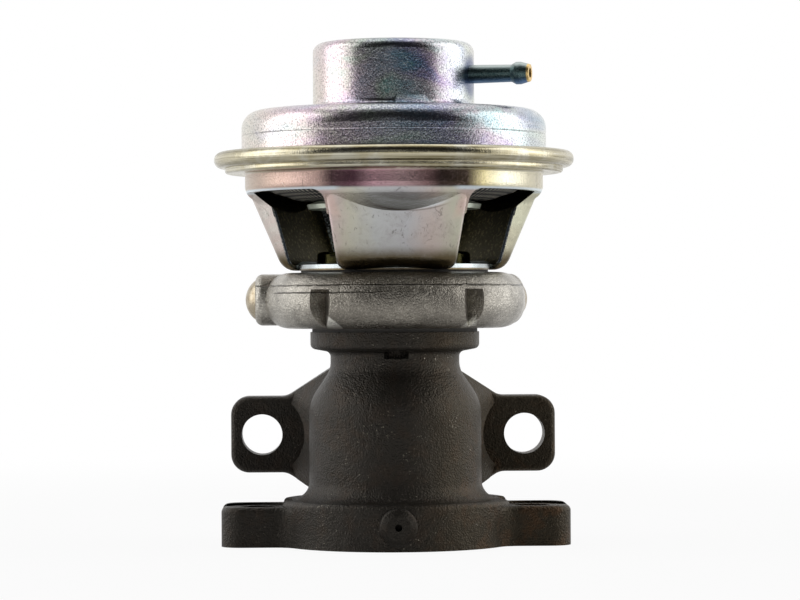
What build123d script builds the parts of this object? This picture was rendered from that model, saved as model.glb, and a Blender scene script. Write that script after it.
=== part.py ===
from build123d import *
import os
from math import cos, hypot, radians, sin, sqrt

# Vacuum-operated exhaust gas recirculation valve, in millimetres.
#
# The origin is the centre of the base port on the underside of the base flange. +Z runs up the
# valve stem, -Y is the front (the side of the small boss), +Y is the rear flange and +X the side
# of the hose nipple. Heights are measured from the underside of the base flange.

# ================================================================ driving dimensions
# Clearances and gaps
RUNNING_GAP = 0.03
FIT_GAP = 0.1
SEATING_GAP = 0.1
SIDE_GAP = 0.4

# Base flange
BASE_LENGTH = 74.5
BASE_DISC_RADIUS = 25.0
BASE_DISC_HEIGHT = 9.7
LUG_HEIGHT = 8.5
LUG_DEPTH = 20.0
LUG_CORNER = 4.5
LUG_BLEND = 5.0
BOLT_SPACING = 58.0
BOLT_HOLE_RADIUS = 4.5
BASE_SPOT_RADIUS = 8.2
BASE_SPOT_DEPTH = 0.5
FRONT_BOSS_RADIUS = 4.0
FRONT_BOSS_HEIGHT = 5.1
FRONT_BOSS_REACH = 0.9
FRONT_HOLE_RADIUS = 0.75
FRONT_HOLE_DEPTH = 3.0

# Body casting
CASTING_EDGE = 1.2
BODY_RADIUS = 18.5
BODY_FLARE = 3.8
SHOULDER_DROP = 7.0
SHOULDER_BEND = 9.5
NECK_RADIUS = 13.85
NECK_DROP = 3.7
NECK_BEND = 5.0
COLLAR_RADIUS = 18.15
COLLAR_BOTTOM = 41.2
COLLAR_HEIGHT = 4.3
COLLAR_SLOPE = 0.8
CHAMBER_RADIUS = 14.5
CHAMBER_DOME = 4.5
CHAMBER_ROOF = 11.0
CHAMBER_THROAT_RADIUS = 8.5
CHAMBER_BEND = 5.0
SEAT_SHELF = 2.0

# Rear flange
REAR_FACE = 27.0
REAR_THICKNESS = 8.0
REAR_AXIS_HEIGHT = 22.7
REAR_LENGTH = 71.7
REAR_EAR_HEIGHT = 16.8
REAR_EAR_CORNER = 4.0
REAR_DISC_RADIUS = 19.8
REAR_HULL_REACH = 23.5
REAR_PORT_RADIUS = 11.5
REAR_PORT_DEPTH = 8.0
REAR_PORT_STEP = 1.1
REAR_WEB_DEPTH = 8.0
REAR_SPOT_RADIUS = 9.4

# Valve seat, poppet and stem
BASE_PORT_RADIUS = 13.5
BASE_PORT_LEDGE = 0.4
SEAT_RADIUS = 13.0
SEAT_BORE = 10.0
SEAT_TOP = 11.0
SEAT_THICKNESS = 4.8
SEAT_CHAMFER = 0.9
POPPET_OVERLAP = 1.4
POPPET_RIM = 1.6
POPPET_CROWN = 1.0
POPPET_SIDE_GAP = 0.8
POPPET_THICKNESS = 8.0
POPPET_HUB_RADIUS = 4.6
STEM_RADIUS = 3.0
STEM_TAIL_RADIUS = 2.5
STEM_COLLAR_RADIUS = 4.6
STEM_COLLAR_HEIGHT = 1.4
STEM_STAND_OUT = 0.6
NUT_WIDTH = 8.0
POPPET_NUT_HEIGHT = 2.4
STEM_NUT_HEIGHT = 3.2
LIFT = 5.5

# Guide bush, soot deflector and stem seal
BUSH_RADIUS = 6.0
BUSH_STAND_OUT = 3.0
BUSH_FLANGE_RADIUS = 8.0
BUSH_FLANGE_THICKNESS = 1.4
DEFLECTOR_SHEET = 0.8
DEFLECTOR_GRIP = 1.8
DEFLECTOR_DROP = 3.0
DEFLECTOR_RADIUS = 9.0
SEAL_FLOOR_RISE = 3.7
SEAL_THICKNESS = 4.2
SEAL_POCKET_RADIUS = 7.5
RETAINER_SHEET = 0.9
RETAINER_HEIGHT = 2.6
RETAINER_GAP = 0.6

# Spacer ring, gaskets and core plugs
BODY_GASKET = 0.8
HOUSING_GASKET = 0.5
RING_HEIGHT = 11.9
RING_RADIUS = 28.1
RING_BORE = 9.0
RING_ROUND = 5.6
RING_SEAM_ANGLE = 100.0  # the turned surfaces start here, clear of bosses and notches
NOTCH_TOP_DROP = 3.6
NOTCH_DEPTH = 3.6
NOTCH_ANGLES = (28.4, 37.5, 41.0)
PLUG_BOSS_RADIUS = 5.5
PLUG_BOSS_STAND_OUT = 1.8
PLUG_BOSS_EDGE = 1.6
PLUG_RADIUS = 4.2
PLUG_DEPTH = 3.0
PLUG_DOME = 2.1
PLUG_RISE = 6.15
PLUG_LEFT_ANGLE = 180.0
PLUG_RIGHT_ANGLE = 26.0

# Lower housing
LOWER_SHEET = 1.2
CUP_RADIUS = 32.0
CUP_DEPTH = 20.8
BAND_HEIGHT = 4.2
BAND_BEND = 3.0
CONE_SLOPE = 1.25
LEG_ANGLES = (-90.0, 30.0, 150.0)
LEG_INSET = 3.8
LEG_FACE_SLOPE = 0.41
LEG_HALF_WIDTH_TOP = 14.9
LEG_HALF_WIDTH_SLOPE = 0.157
LEG_FOOT_BEND = 4.0
LEG_EDGE_BEND = 2.4
LEG_LIP_INSET = 9.5
LEG_LIP_SLOPE = 0.22
WINDOW_RISE = 0.1
WINDOW_TOP_CORNER = 3.0
WINDOW_FOOT_CORNER = 3.0
CUP_FOOT_INSET = 11.3
FLOOR_PLATE_INSET = 0.2
FLOOR_BORE = 6.9
CHANNEL_WIDTH = 4.3
CHANNEL_BEND = 0.6
BAND_JOIN_DROP = 2.0
RIM_ROLL = 1.6
BEAD_HEIGHT = 1.2
RIM_OVERHANG = 2.3
RIM_SHEET = 1.2
LIP_GAP = 1.3

# Housing screws and washers
SCREW_RADIUS = 2.5
SCREW_CLEARANCE = 0.25
SCREW_HEAD_RADIUS = 4.7
SCREW_HEAD_HEIGHT = 2.3
SCREW_HEAD_EDGE = 0.9
SCREW_SOCKET_WIDTH = 3.0
SCREW_SOCKET_DEPTH = 1.3
SCREW_HOLE_DROP = 1.3
SCREW_TIP_GAP = 3.0
WASHER_RADIUS = 4.8
WASHER_THICKNESS = 0.6

# Upper housing and hose nipple
UPPER_SHEET = 1.0
CAP_RADIUS = 17.33
CAP_HEIGHT = 13.9
CAP_CORNER = 2.2
CAP_FOOT_BEND = 1.2
DOME_STEP = 0.7
DOME_HEIGHT = 9.9
DOME_CROWN = 0.8
DOME_CORNER = 4.0
FLANGE_BEND = 0.8
GUSSET_ANGLE = -79.0
GUSSET_EDGE = 0.5
GUSSET_WIDTH = 8.7
GUSSET_TOP_WIDTH = 6.2
GUSSET_HEIGHT = 2.1
GUSSET_REACH = 3.0
NIPPLE_DROP = 7.1
NIPPLE_ANGLE = -18.0
NIPPLE_ROOT_RADIUS = 1.98
NIPPLE_RADIUS = 1.85
NIPPLE_BORE = 1.05
NIPPLE_TIP = 30.3
NIPPLE_INNER_REACH = 0.8
BARB_START = 4.0
BARB_PEAK = 2.5
BARB_RADIUS = 2.4
BARB_LAND = 1.0

# Diaphragm, plates, spring and spring seat
DIAPHRAGM_THICKNESS = 0.8
DIAPHRAGM_DROP = 5.4
CONVOLUTION_INSET = 3.8
CONVOLUTION_RISE = 1.5
CONVOLUTION_SHOULDER = 1.8
CONVOLUTION_BEND = 3.0
CONVOLUTION_GAP = 1.2
PLATE_SHEET = 1.0
PLATE_BEND = 1.4
LOWER_PLATE_RADIUS = 18.6
LOWER_PLATE_LIP = 2.3
LOWER_PLATE_FLARE = 0.9
UPPER_PLATE_RADIUS = 19.0
STEM_WASHER_RADIUS = 5.5
STOP_GAP = 0.3
SPRING_MEAN_RADIUS = 12.0
SPRING_WIRE_RADIUS = 1.1
SPRING_COILS = 5.0
SPRING_SEAT_SHEET = 1.0
SPRING_SEAT_COLLAR = 3.0

# ================================================================ derived places
SEAT_BOTTOM = SEAT_TOP - SEAT_THICKNESS
BASE_PORT_DEPTH = SEAT_BOTTOM - BASE_PORT_LEDGE
REAR_PASSAGE_RADIUS = REAR_PORT_RADIUS - REAR_PORT_STEP
CHAMBER_FLOOR = SEAT_TOP + SEAT_SHELF
COLLAR_TOP = COLLAR_BOTTOM + COLLAR_HEIGHT
NECK_HEIGHT = COLLAR_BOTTOM - NECK_DROP
SHOULDER_HEIGHT = NECK_HEIGHT - SHOULDER_DROP
SCREW_HOLE_BOTTOM = COLLAR_BOTTOM - SCREW_HOLE_DROP
CHAMBER_TOP = COLLAR_TOP - CHAMBER_ROOF
CHAMBER_SHOULDER = CHAMBER_TOP - CHAMBER_DOME
BUSH_BOTTOM = CHAMBER_TOP - BUSH_STAND_OUT
RING_BOTTOM = COLLAR_TOP + BODY_GASKET
RING_TOP = RING_BOTTOM + RING_HEIGHT
FLOOR_BOTTOM = RING_TOP + HOUSING_GASKET
FLOOR_TOP = FLOOR_BOTTOM + LOWER_SHEET
BUSH_TOP = RING_BOTTOM + SEAL_FLOOR_RISE
SEAL_TOP = BUSH_TOP + SEAL_THICKNESS
PLUG_HEIGHT = RING_BOTTOM + PLUG_RISE
PLUG_BOSS_REACH = RING_RADIUS + PLUG_BOSS_STAND_OUT
PLUG_BOSS_ROOT = RING_RADIUS - RING_ROUND
CHANNEL_BOTTOM = FLOOR_BOTTOM + CUP_DEPTH
BAND_BOTTOM = CHANNEL_BOTTOM - BAND_HEIGHT
BAND_JOIN = CHANNEL_BOTTOM - BAND_JOIN_DROP
LEG_FACE_TOP = CUP_RADIUS - LEG_INSET
LEG_LIP_TOP = CUP_RADIUS - LEG_LIP_INSET
CUP_FOOT_RADIUS = CUP_RADIUS - CUP_FOOT_INSET
FLOOR_PLATE_RADIUS = CUP_FOOT_RADIUS - FLOOR_PLATE_INSET
SCREW_PITCH_RADIUS = (FLOOR_BORE + CUP_FOOT_RADIUS) / 2
CHANNEL_RADIUS = CUP_RADIUS + CHANNEL_WIDTH
RIM_RADIUS = CHANNEL_RADIUS + RIM_OVERHANG
DOME_RADIUS = CUP_RADIUS + DOME_STEP
LIP_RADIUS = DOME_RADIUS + LIP_GAP
CHANNEL_FLOOR = CHANNEL_BOTTOM + LOWER_SHEET
CLAMP_FACE = CHANNEL_FLOOR + BEAD_HEIGHT
FLANGE_TOP = CLAMP_FACE + UPPER_SHEET
RIM_TOP = FLANGE_TOP + RIM_SHEET
RIM_BOTTOM = CLAMP_FACE - RIM_SHEET
DOME_EDGE_HEIGHT = FLANGE_TOP + DOME_HEIGHT
CAP_FOOT_HEIGHT = DOME_EDGE_HEIGHT + DOME_CROWN
CAP_TOP = CAP_FOOT_HEIGHT + CAP_HEIGHT
NIPPLE_HEIGHT = CAP_TOP - NIPPLE_DROP
FLANGE_POCKET_RADIUS = RIM_RADIUS - RIM_SHEET
BEAD_RADIUS = CHANNEL_RADIUS - LOWER_SHEET
BAND_INNER_RADIUS = CUP_RADIUS - LOWER_SHEET
DOME_INNER_RADIUS = DOME_RADIUS - UPPER_SHEET
CAP_INNER_RADIUS = CAP_RADIUS - UPPER_SHEET
CAP_CEILING = CAP_TOP - UPPER_SHEET
DOME_SLOPE = DOME_CROWN / (DOME_RADIUS - CAP_RADIUS)
POPPET_RADIUS = SEAT_BORE + POPPET_OVERLAP
POPPET_SHELF = SEAT_TOP + (POPPET_RADIUS - SEAT_BORE - SEAT_CHAMFER) + SEATING_GAP * sqrt(2)
POPPET_BOTTOM = POPPET_SHELF - POPPET_OVERLAP - SEAT_CHAMFER
POPPET_TOP = POPPET_BOTTOM + POPPET_THICKNESS
DIAPHRAGM_PLANE = CHANNEL_BOTTOM - DIAPHRAGM_DROP
CONVOLUTION_RADIUS = CUP_RADIUS - CONVOLUTION_INSET
LOWER_PLATE_FLAT = LOWER_PLATE_RADIUS - LOWER_PLATE_LIP
LOWER_PLATE_TOP = DIAPHRAGM_PLANE - DIAPHRAGM_THICKNESS / 2
LOWER_PLATE_BOTTOM = LOWER_PLATE_TOP - PLATE_SHEET
UPPER_PLATE_BOTTOM = DIAPHRAGM_PLANE + DIAPHRAGM_THICKNESS / 2
UPPER_PLATE_FLOOR = UPPER_PLATE_BOTTOM + PLATE_SHEET
STEM_WASHER_TOP = UPPER_PLATE_FLOOR + PLATE_SHEET
SPRING_TOP = CAP_CEILING - SPRING_SEAT_SHEET
STOP_HEIGHT = DOME_EDGE_HEIGHT + DOME_SLOPE * (DOME_RADIUS - UPPER_PLATE_RADIUS) - UPPER_SHEET


# ================================================================ shared shapes
def section(*corners):
    """Closed face in the XZ plane from (radius, height, corner rounding) triples."""
    points = [(radius, height) for radius, height, rounding in corners]
    roundings = [rounding for radius, height, rounding in corners]
    return Plane.XZ * make_face(FilletPolyline(*points, radius=roundings, close=True))


def turned(*corners):
    """Solid of revolution about the Z axis from section corners."""
    return revolve(section(*corners), Axis.Z)


def pressed(sheet, *corners):
    """Turned sheet-metal shell whose middle line runs through (radius, height, bend) triples."""
    points = [(radius, height) for radius, height, bend in corners]
    bends = [bend for radius, height, bend in corners[1:-1]]
    return revolve(Plane.XZ * trace(FilletPolyline(*points, radius=bends), sheet), Axis.Z)


def disc(radius, bottom, top):
    """Upright cylinder on the Z axis."""
    return Pos(0, 0, bottom) * extrude(Circle(radius), top - bottom)


def washer(inner, outer, bottom, top):
    """Flat ring on the Z axis."""
    return Pos(0, 0, bottom) * extrude(Circle(outer) - Circle(inner), top - bottom)


def outward(angle, height):
    """Location on the stem axis whose local Z points outward at an angle about the axis."""
    return Pos(0, 0, height) * Rot(0, 0, angle) * Rot(0, 90, 0)


def at_screws(piece):
    """Copies of a piece at the housing screws."""
    return [Rot(0, 0, angle) * Pos(SCREW_PITCH_RADIUS, 0, 0) * piece for angle in LEG_ANGLES]


def screw_holes(bottom, top):
    """Clearance holes for the housing screws between two heights."""
    return at_screws(disc(SCREW_RADIUS + SCREW_CLEARANCE, bottom, top))


def hexagon(width, bottom, height):
    """Hexagonal head or nut with a chamfered top."""
    corner = width / sqrt(3)
    chamfer_height = corner - width / 2
    prism = Pos(0, 0, bottom) * extrude(RegularPolygon(width / 2, 6, major_radius=False), height)
    cap = turned(
        (0, bottom, 0),
        (corner, bottom, 0),
        (corner, bottom + height - chamfer_height, 0),
        (width / 2, bottom + height, 0),
        (0, bottom + height, 0),
    )
    return prism & cap


# ================================================================ body casting
def base_flange():
    """Two-lug base flange with the small boss on its front."""
    outline = Circle(BASE_DISC_RADIUS) + RectangleRounded(BASE_LENGTH, LUG_DEPTH, LUG_CORNER)
    inner_corners = [v for v in outline.vertices() if abs(abs(v.Y) - LUG_DEPTH / 2) < FIT_GAP
                     and abs(v.X) < BASE_DISC_RADIUS]
    plate = extrude(fillet(inner_corners, LUG_BLEND), LUG_HEIGHT)
    plate = fillet(plate.faces().sort_by(Axis.Z)[-1].edges(), CASTING_EDGE)
    boss = extrude(Plane.XZ * Circle(FRONT_BOSS_RADIUS), BASE_DISC_RADIUS + FRONT_BOSS_REACH)
    boss = fillet(boss.faces().sort_by(Axis.Y)[0].edges(), FRONT_BOSS_REACH / 2)
    return plate + Pos(0, 0, FRONT_BOSS_HEIGHT) * boss


def rear_flange():
    """Two-ear rear flange and the web in front of it, spot-faced round the bolts."""
    core = make_hull(
        Circle(REAR_DISC_RADIUS).edges() + Rectangle(2 * REAR_HULL_REACH, REAR_EAR_HEIGHT).edges()
    )
    outline = core + RectangleRounded(REAR_LENGTH, REAR_EAR_HEIGHT, REAR_EAR_CORNER)
    inner_corners = [v for v in outline.vertices() if abs(abs(v.X) - REAR_HULL_REACH) < FIT_GAP]
    outline = fillet(inner_corners, REAR_EAR_CORNER)
    rear = Plane.XZ.offset(-REAR_FACE) * Pos(0, REAR_AXIS_HEIGHT)
    plate = extrude(rear * outline, REAR_THICKNESS)
    plate = fillet(plate.faces().sort_by(Axis.Y)[0].edges(), CASTING_EDGE)
    front = Plane.XZ.offset(REAR_THICKNESS - REAR_FACE) * Pos(0, REAR_AXIS_HEIGHT)
    web = extrude(front * outline, REAR_WEB_DEPTH)
    cone = Cone(REAR_HULL_REACH, BODY_RADIUS, REAR_WEB_DEPTH, align=(Align.CENTER, Align.CENTER, Align.MIN))
    web &= front * cone
    for side in (-1, 1):
        spot = front * Pos(side * BOLT_SPACING / 2, 0) * Circle(REAR_SPOT_RADIUS)
        web -= extrude(spot, REAR_FACE)
    return plate + web


def body_outside():
    """Turned outer form: base disc, flared barrel, domed shoulder, neck and collar."""
    return turned(
        (0, 0, 0),
        (BASE_DISC_RADIUS, 0, 0),
        (BASE_DISC_RADIUS, BASE_DISC_HEIGHT, CASTING_EDGE),
        (BODY_RADIUS, BASE_DISC_HEIGHT, BODY_FLARE),
        (BODY_RADIUS, SHOULDER_HEIGHT, SHOULDER_BEND),
        (NECK_RADIUS, NECK_HEIGHT, NECK_BEND),
        (NECK_RADIUS, COLLAR_BOTTOM, CASTING_EDGE),
        (COLLAR_RADIUS, COLLAR_BOTTOM + COLLAR_SLOPE, CASTING_EDGE),
        (COLLAR_RADIUS, COLLAR_TOP, 0),
        (0, COLLAR_TOP, 0),
    )


def body_inside():
    """Turned gas way: base port, seat shelf, chamber and the bore for the guide bush."""
    return turned(
        (0, -CASTING_EDGE, 0),
        (BASE_PORT_RADIUS, -CASTING_EDGE, 0),
        (BASE_PORT_RADIUS, BASE_PORT_DEPTH, 0),
        (SEAT_RADIUS, BASE_PORT_DEPTH, 0),
        (SEAT_RADIUS, SEAT_TOP, 0),
        (POPPET_RADIUS + POPPET_SIDE_GAP, SEAT_TOP, 0),
        (POPPET_RADIUS + POPPET_SIDE_GAP, CHAMBER_FLOOR, 0),
        (CHAMBER_RADIUS, CHAMBER_FLOOR, 0),
        (CHAMBER_RADIUS, CHAMBER_SHOULDER, CHAMBER_BEND),
        (CHAMBER_THROAT_RADIUS, CHAMBER_TOP, 0),
        (BUSH_RADIUS, CHAMBER_TOP, 0),
        (BUSH_RADIUS, COLLAR_TOP + CASTING_EDGE, 0),
        (0, COLLAR_TOP + CASTING_EDGE, 0),
    )


def valve_body():
    """Iron casting with both flanges, the gas chamber and the screw collar."""
    body = body_outside() + base_flange() + rear_flange()
    body -= body_inside()
    rear = Plane.XZ.offset(-REAR_FACE) * Pos(0, REAR_AXIS_HEIGHT)
    chamber_mouth = sqrt(CHAMBER_RADIUS**2 - REAR_PASSAGE_RADIUS**2)
    body -= extrude(rear * Circle(REAR_PORT_RADIUS), REAR_PORT_DEPTH)
    body -= extrude(rear * Circle(REAR_PASSAGE_RADIUS), REAR_FACE - chamber_mouth)
    for side in (-1, 1):
        body -= Pos(side * BOLT_SPACING / 2, 0, 0) * disc(BOLT_HOLE_RADIUS, 0, LUG_HEIGHT)
        spot = disc(BASE_SPOT_RADIUS, LUG_HEIGHT - BASE_SPOT_DEPTH, BASE_DISC_HEIGHT)
        body -= Pos(side * BOLT_SPACING / 2, 0, 0) * spot
        hole = Plane.XZ.offset(-REAR_FACE) * Pos(side * BOLT_SPACING / 2, REAR_AXIS_HEIGHT)
        body -= extrude(hole * Circle(BOLT_HOLE_RADIUS), REAR_THICKNESS)
    body -= at_screws(disc(SCREW_RADIUS + FIT_GAP, SCREW_HOLE_BOTTOM, COLLAR_TOP))
    nose = Plane.XZ.offset(BASE_DISC_RADIUS + FRONT_BOSS_REACH) * Pos(0, FRONT_BOSS_HEIGHT)
    body -= extrude(nose * Circle(FRONT_HOLE_RADIUS), -FRONT_HOLE_DEPTH)
    return body


# ================================================================ valve, stem and guide
def valve_seat():
    """Seat ring with a 45 degree seating face, pressed in from the base port."""
    return turned(
        (SEAT_BORE, SEAT_BOTTOM, 0),
        (SEAT_RADIUS, SEAT_BOTTOM, 0),
        (SEAT_RADIUS, SEAT_TOP, 0),
        (SEAT_BORE + SEAT_CHAMFER, SEAT_TOP, 0),
        (SEAT_BORE, SEAT_TOP - SEAT_CHAMFER, 0),
    )


def poppet():
    """Valve head whose cone faces the seat, with a hub that meets the stem shoulder."""
    bore = STEM_TAIL_RADIUS + FIT_GAP
    return turned(
        (bore, POPPET_BOTTOM, 0),
        (POPPET_RADIUS - POPPET_SHELF + POPPET_BOTTOM, POPPET_BOTTOM, 0),
        (POPPET_RADIUS, POPPET_SHELF, 0),
        (POPPET_RADIUS, POPPET_SHELF + POPPET_RIM, CASTING_EDGE / 2),
        (POPPET_HUB_RADIUS, POPPET_SHELF + POPPET_RIM + POPPET_CROWN, POPPET_CROWN),
        (POPPET_HUB_RADIUS, POPPET_TOP, 0),
        (bore, POPPET_TOP, 0),
    )


def threaded_nut(bottom, height):
    """Hexagon nut on the stem axis."""
    nut = hexagon(NUT_WIDTH, bottom, height)
    return nut - disc(STEM_TAIL_RADIUS + FIT_GAP, bottom, bottom + height)


def valve_stem():
    """Shouldered stem: tail for the poppet, guided shank, collar and tail for the plates."""
    stem_bottom = POPPET_BOTTOM - POPPET_NUT_HEIGHT - STEM_STAND_OUT
    stem_top = STEM_WASHER_TOP + STEM_NUT_HEIGHT + STEM_STAND_OUT
    collar_bottom = LOWER_PLATE_BOTTOM - STEM_COLLAR_HEIGHT
    return turned(
        (0, stem_bottom, 0),
        (STEM_TAIL_RADIUS, stem_bottom, 0),
        (STEM_TAIL_RADIUS, POPPET_TOP, 0),
        (STEM_RADIUS, POPPET_TOP, 0),
        (STEM_RADIUS, collar_bottom, 0),
        (STEM_COLLAR_RADIUS, collar_bottom, 0),
        (STEM_COLLAR_RADIUS, LOWER_PLATE_BOTTOM, 0),
        (STEM_TAIL_RADIUS, LOWER_PLATE_BOTTOM, 0),
        (STEM_TAIL_RADIUS, stem_top, 0),
        (0, stem_top, 0),
    )


def stem_guide_bush():
    """Flanged bush pressed into the neck of the body."""
    bore = STEM_RADIUS + RUNNING_GAP
    return turned(
        (bore, BUSH_BOTTOM, 0),
        (BUSH_RADIUS, BUSH_BOTTOM, 0),
        (BUSH_RADIUS, COLLAR_TOP, 0),
        (BUSH_FLANGE_RADIUS, COLLAR_TOP, 0),
        (BUSH_FLANGE_RADIUS, COLLAR_TOP + BUSH_FLANGE_THICKNESS, 0),
        (BUSH_RADIUS, COLLAR_TOP + BUSH_FLANGE_THICKNESS, 0),
        (BUSH_RADIUS, BUSH_TOP, 0),
        (bore, BUSH_TOP, 0),
    )


def soot_deflector():
    """Skirt pressed on the lower end of the guide bush."""
    grip_radius = BUSH_RADIUS + DEFLECTOR_SHEET / 2
    return pressed(
        DEFLECTOR_SHEET,
        (grip_radius, BUSH_BOTTOM + DEFLECTOR_GRIP, 0),
        (grip_radius, BUSH_BOTTOM, DEFLECTOR_SHEET),
        (DEFLECTOR_RADIUS, BUSH_BOTTOM - DEFLECTOR_DROP, 0),
    )


def stem_seal():
    """Seal ring round the stem on top of the guide bush."""
    return washer(STEM_RADIUS + RUNNING_GAP, SEAL_POCKET_RADIUS, BUSH_TOP, SEAL_TOP)


def seal_retainer():
    """Cup washer pressed over the stem seal."""
    floor_height = SEAL_TOP + RETAINER_SHEET / 2
    wall_radius = SEAL_POCKET_RADIUS - RETAINER_SHEET / 2
    return pressed(
        RETAINER_SHEET,
        (STEM_RADIUS + RETAINER_GAP, floor_height, 0),
        (wall_radius, floor_height, RETAINER_SHEET),
        (wall_radius, SEAL_TOP + RETAINER_HEIGHT, 0),
    )


# ================================================================ spacer ring and gaskets
def spacer_ring():
    """Full-round cast ring with two front notches and a boss for each core plug."""
    ring = Rot(0, 0, RING_SEAM_ANGLE) * turned(
        (RING_BORE, RING_BOTTOM, 0),
        (RING_RADIUS, RING_BOTTOM, RING_ROUND),
        (RING_RADIUS, RING_TOP, RING_ROUND),
        (SEAL_POCKET_RADIUS, RING_TOP, 0),
        (SEAL_POCKET_RADIUS, BUSH_TOP, 0),
        (RING_BORE, BUSH_TOP, 0),
    )
    for angle in (PLUG_LEFT_ANGLE, PLUG_RIGHT_ANGLE):
        boss = Pos(0, 0, PLUG_BOSS_ROOT) * extrude(
            Circle(PLUG_BOSS_RADIUS), PLUG_BOSS_REACH - PLUG_BOSS_ROOT
        )
        boss = fillet(boss.faces().sort_by(Axis.Z)[-1].edges(), PLUG_BOSS_EDGE)
        ring += outward(angle, PLUG_HEIGHT) * boss
        pocket = Pos(0, 0, PLUG_BOSS_REACH - PLUG_DEPTH) * extrude(Circle(PLUG_RADIUS), PLUG_DEPTH)
        ring -= outward(angle, PLUG_HEIGHT) * pocket
    for side in (-1, 1):
        radii = (RING_RADIUS + 1, RING_RADIUS - NOTCH_DEPTH, RING_RADIUS + 1)
        corners = [
            (side * radius * sin(radians(angle)), -radius * cos(radians(angle)))
            for radius, angle in zip(radii, NOTCH_ANGLES)
        ]
        notch = make_face(Polyline(*corners, close=True))
        ring -= Pos(0, 0, RING_BOTTOM) * extrude(notch, RING_HEIGHT - NOTCH_TOP_DROP, dir=(0, 0, 1))
    return ring - screw_holes(RING_BOTTOM, RING_TOP)


def core_plug(angle):
    """Domed plug pressed into a side of the spacer ring."""
    dome_radius = (PLUG_RADIUS**2 + PLUG_DOME**2) / (2 * PLUG_DOME)
    slug = Pos(0, 0, -PLUG_DEPTH) * extrude(Circle(PLUG_RADIUS), PLUG_DEPTH + PLUG_DOME)
    slug &= Pos(0, 0, PLUG_DOME - dome_radius) * Sphere(dome_radius)
    return outward(angle, PLUG_HEIGHT) * Pos(0, 0, PLUG_BOSS_REACH) * slug


def gasket(inner, outer, bottom, top):
    """Flat gasket with holes for the housing screws."""
    return washer(inner, outer, bottom, top) - screw_holes(bottom, top)


# ================================================================ lower housing
def leg_face(height):
    """Distance of the outer leg faces from the stem axis at a height."""
    return LEG_FACE_TOP - LEG_FACE_SLOPE * (BAND_BOTTOM - height)


def leg_half_width(height):
    """Half width of a leg at a height."""
    return LEG_HALF_WIDTH_TOP - LEG_HALF_WIDTH_SLOPE * (BAND_BOTTOM - height)


def leg_lip_reach(height):
    """Distance from the stem axis at which the folded leg edges end at a height."""
    return LEG_LIP_TOP - LEG_LIP_SLOPE * (BAND_BOTTOM - height)


def tapered_block(bottom, top, near, far, half_width):
    """Block along +X between two heights, with its ends and half width given by height."""
    ends = []
    for height in (bottom, top):
        length = far(height) - near(height)
        place = Pos(near(height) + length / 2, 0, height)
        ends.append(place * Rectangle(length, 2 * half_width(height)))
    return loft(ends)


def at_legs(shape):
    """A shape along +X repeated at the three legs."""
    turns = [Rot(0, 0, angle) * shape for angle in LEG_ANGLES]
    return turns[0] + turns[1] + turns[2]


def leg(inset, floor, top):
    """One leg as a block along +X, moved inward by an inset, its foot and edges bent over."""
    face_offset = inset * sqrt(1 + LEG_FACE_SLOPE**2)
    block = tapered_block(
        floor,
        top,
        lambda height: 0,
        lambda height: leg_face(height) - face_offset,
        lambda height: leg_half_width(height) - inset,
    )
    foot = block.faces().sort_by(Axis.Z)[0].edges().sort_by(Axis.X)[-1]
    block = fillet(foot, LEG_FOOT_BEND - inset)
    sides = block.faces().sort_by(Axis.Y)
    rims = [edge for side in (sides[0], sides[-1]) for edge in side.edges()
            if edge.center().Z < top - FIT_GAP and edge.center().X > LEG_FOOT_BEND]
    return fillet(rims, LEG_EDGE_BEND - inset)


def cup_form(inset, floor, top):
    """Solid form of the pressed cup, moved inward by an inset, from its floor up to a height."""
    slant = sqrt(1 + CONE_SLOPE**2)
    radius = CUP_RADIUS - inset
    bend_height = BAND_BOTTOM + inset * (slant - 1) / CONE_SLOPE
    foot_radius = radius - CONE_SLOPE * (bend_height - floor)
    cone = turned(
        (0, floor, 0),
        (foot_radius, floor, 0),
        (radius, bend_height, BAND_BEND - inset),
        (radius, top, 0),
        (0, top, 0),
    )
    return cone + (at_legs(leg(inset, floor, BAND_BOTTOM)) & disc(radius, floor, top))


def window_tool():
    """Cutter for the three windows: it spares the legs, their folded edges and the floor plate."""
    bottom = FLOOR_BOTTOM - FIT_GAP
    top = BAND_BOTTOM + WINDOW_RISE
    keep = tapered_block(
        bottom,
        top,
        leg_lip_reach,
        lambda height: 2 * CUP_RADIUS,
        lambda height: leg_half_width(height) + SIDE_GAP,
    )
    tool = disc(CUP_RADIUS + CHANNEL_WIDTH, bottom, top) - at_legs(keep)
    ceiling = tool.faces().sort_by(Axis.Z)[-1]
    shoulders = [edge for edge in ceiling.edges().filter_by(GeomType.LINE)
                 if hypot(edge.center().X, edge.center().Y) > LEG_LIP_TOP + SIDE_GAP]
    tool = fillet(shoulders, WINDOW_TOP_CORNER)
    floor = tool.faces().sort_by(Axis.Z)[0]
    heels = [edge for edge in floor.edges().filter_by(GeomType.LINE)
             if hypot(edge.center().X, edge.center().Y) < leg_lip_reach(bottom) + FIT_GAP]
    tool = fillet(heels, WINDOW_FOOT_CORNER)
    return tool - disc(FLOOR_PLATE_RADIUS, bottom, FLOOR_TOP)


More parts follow.
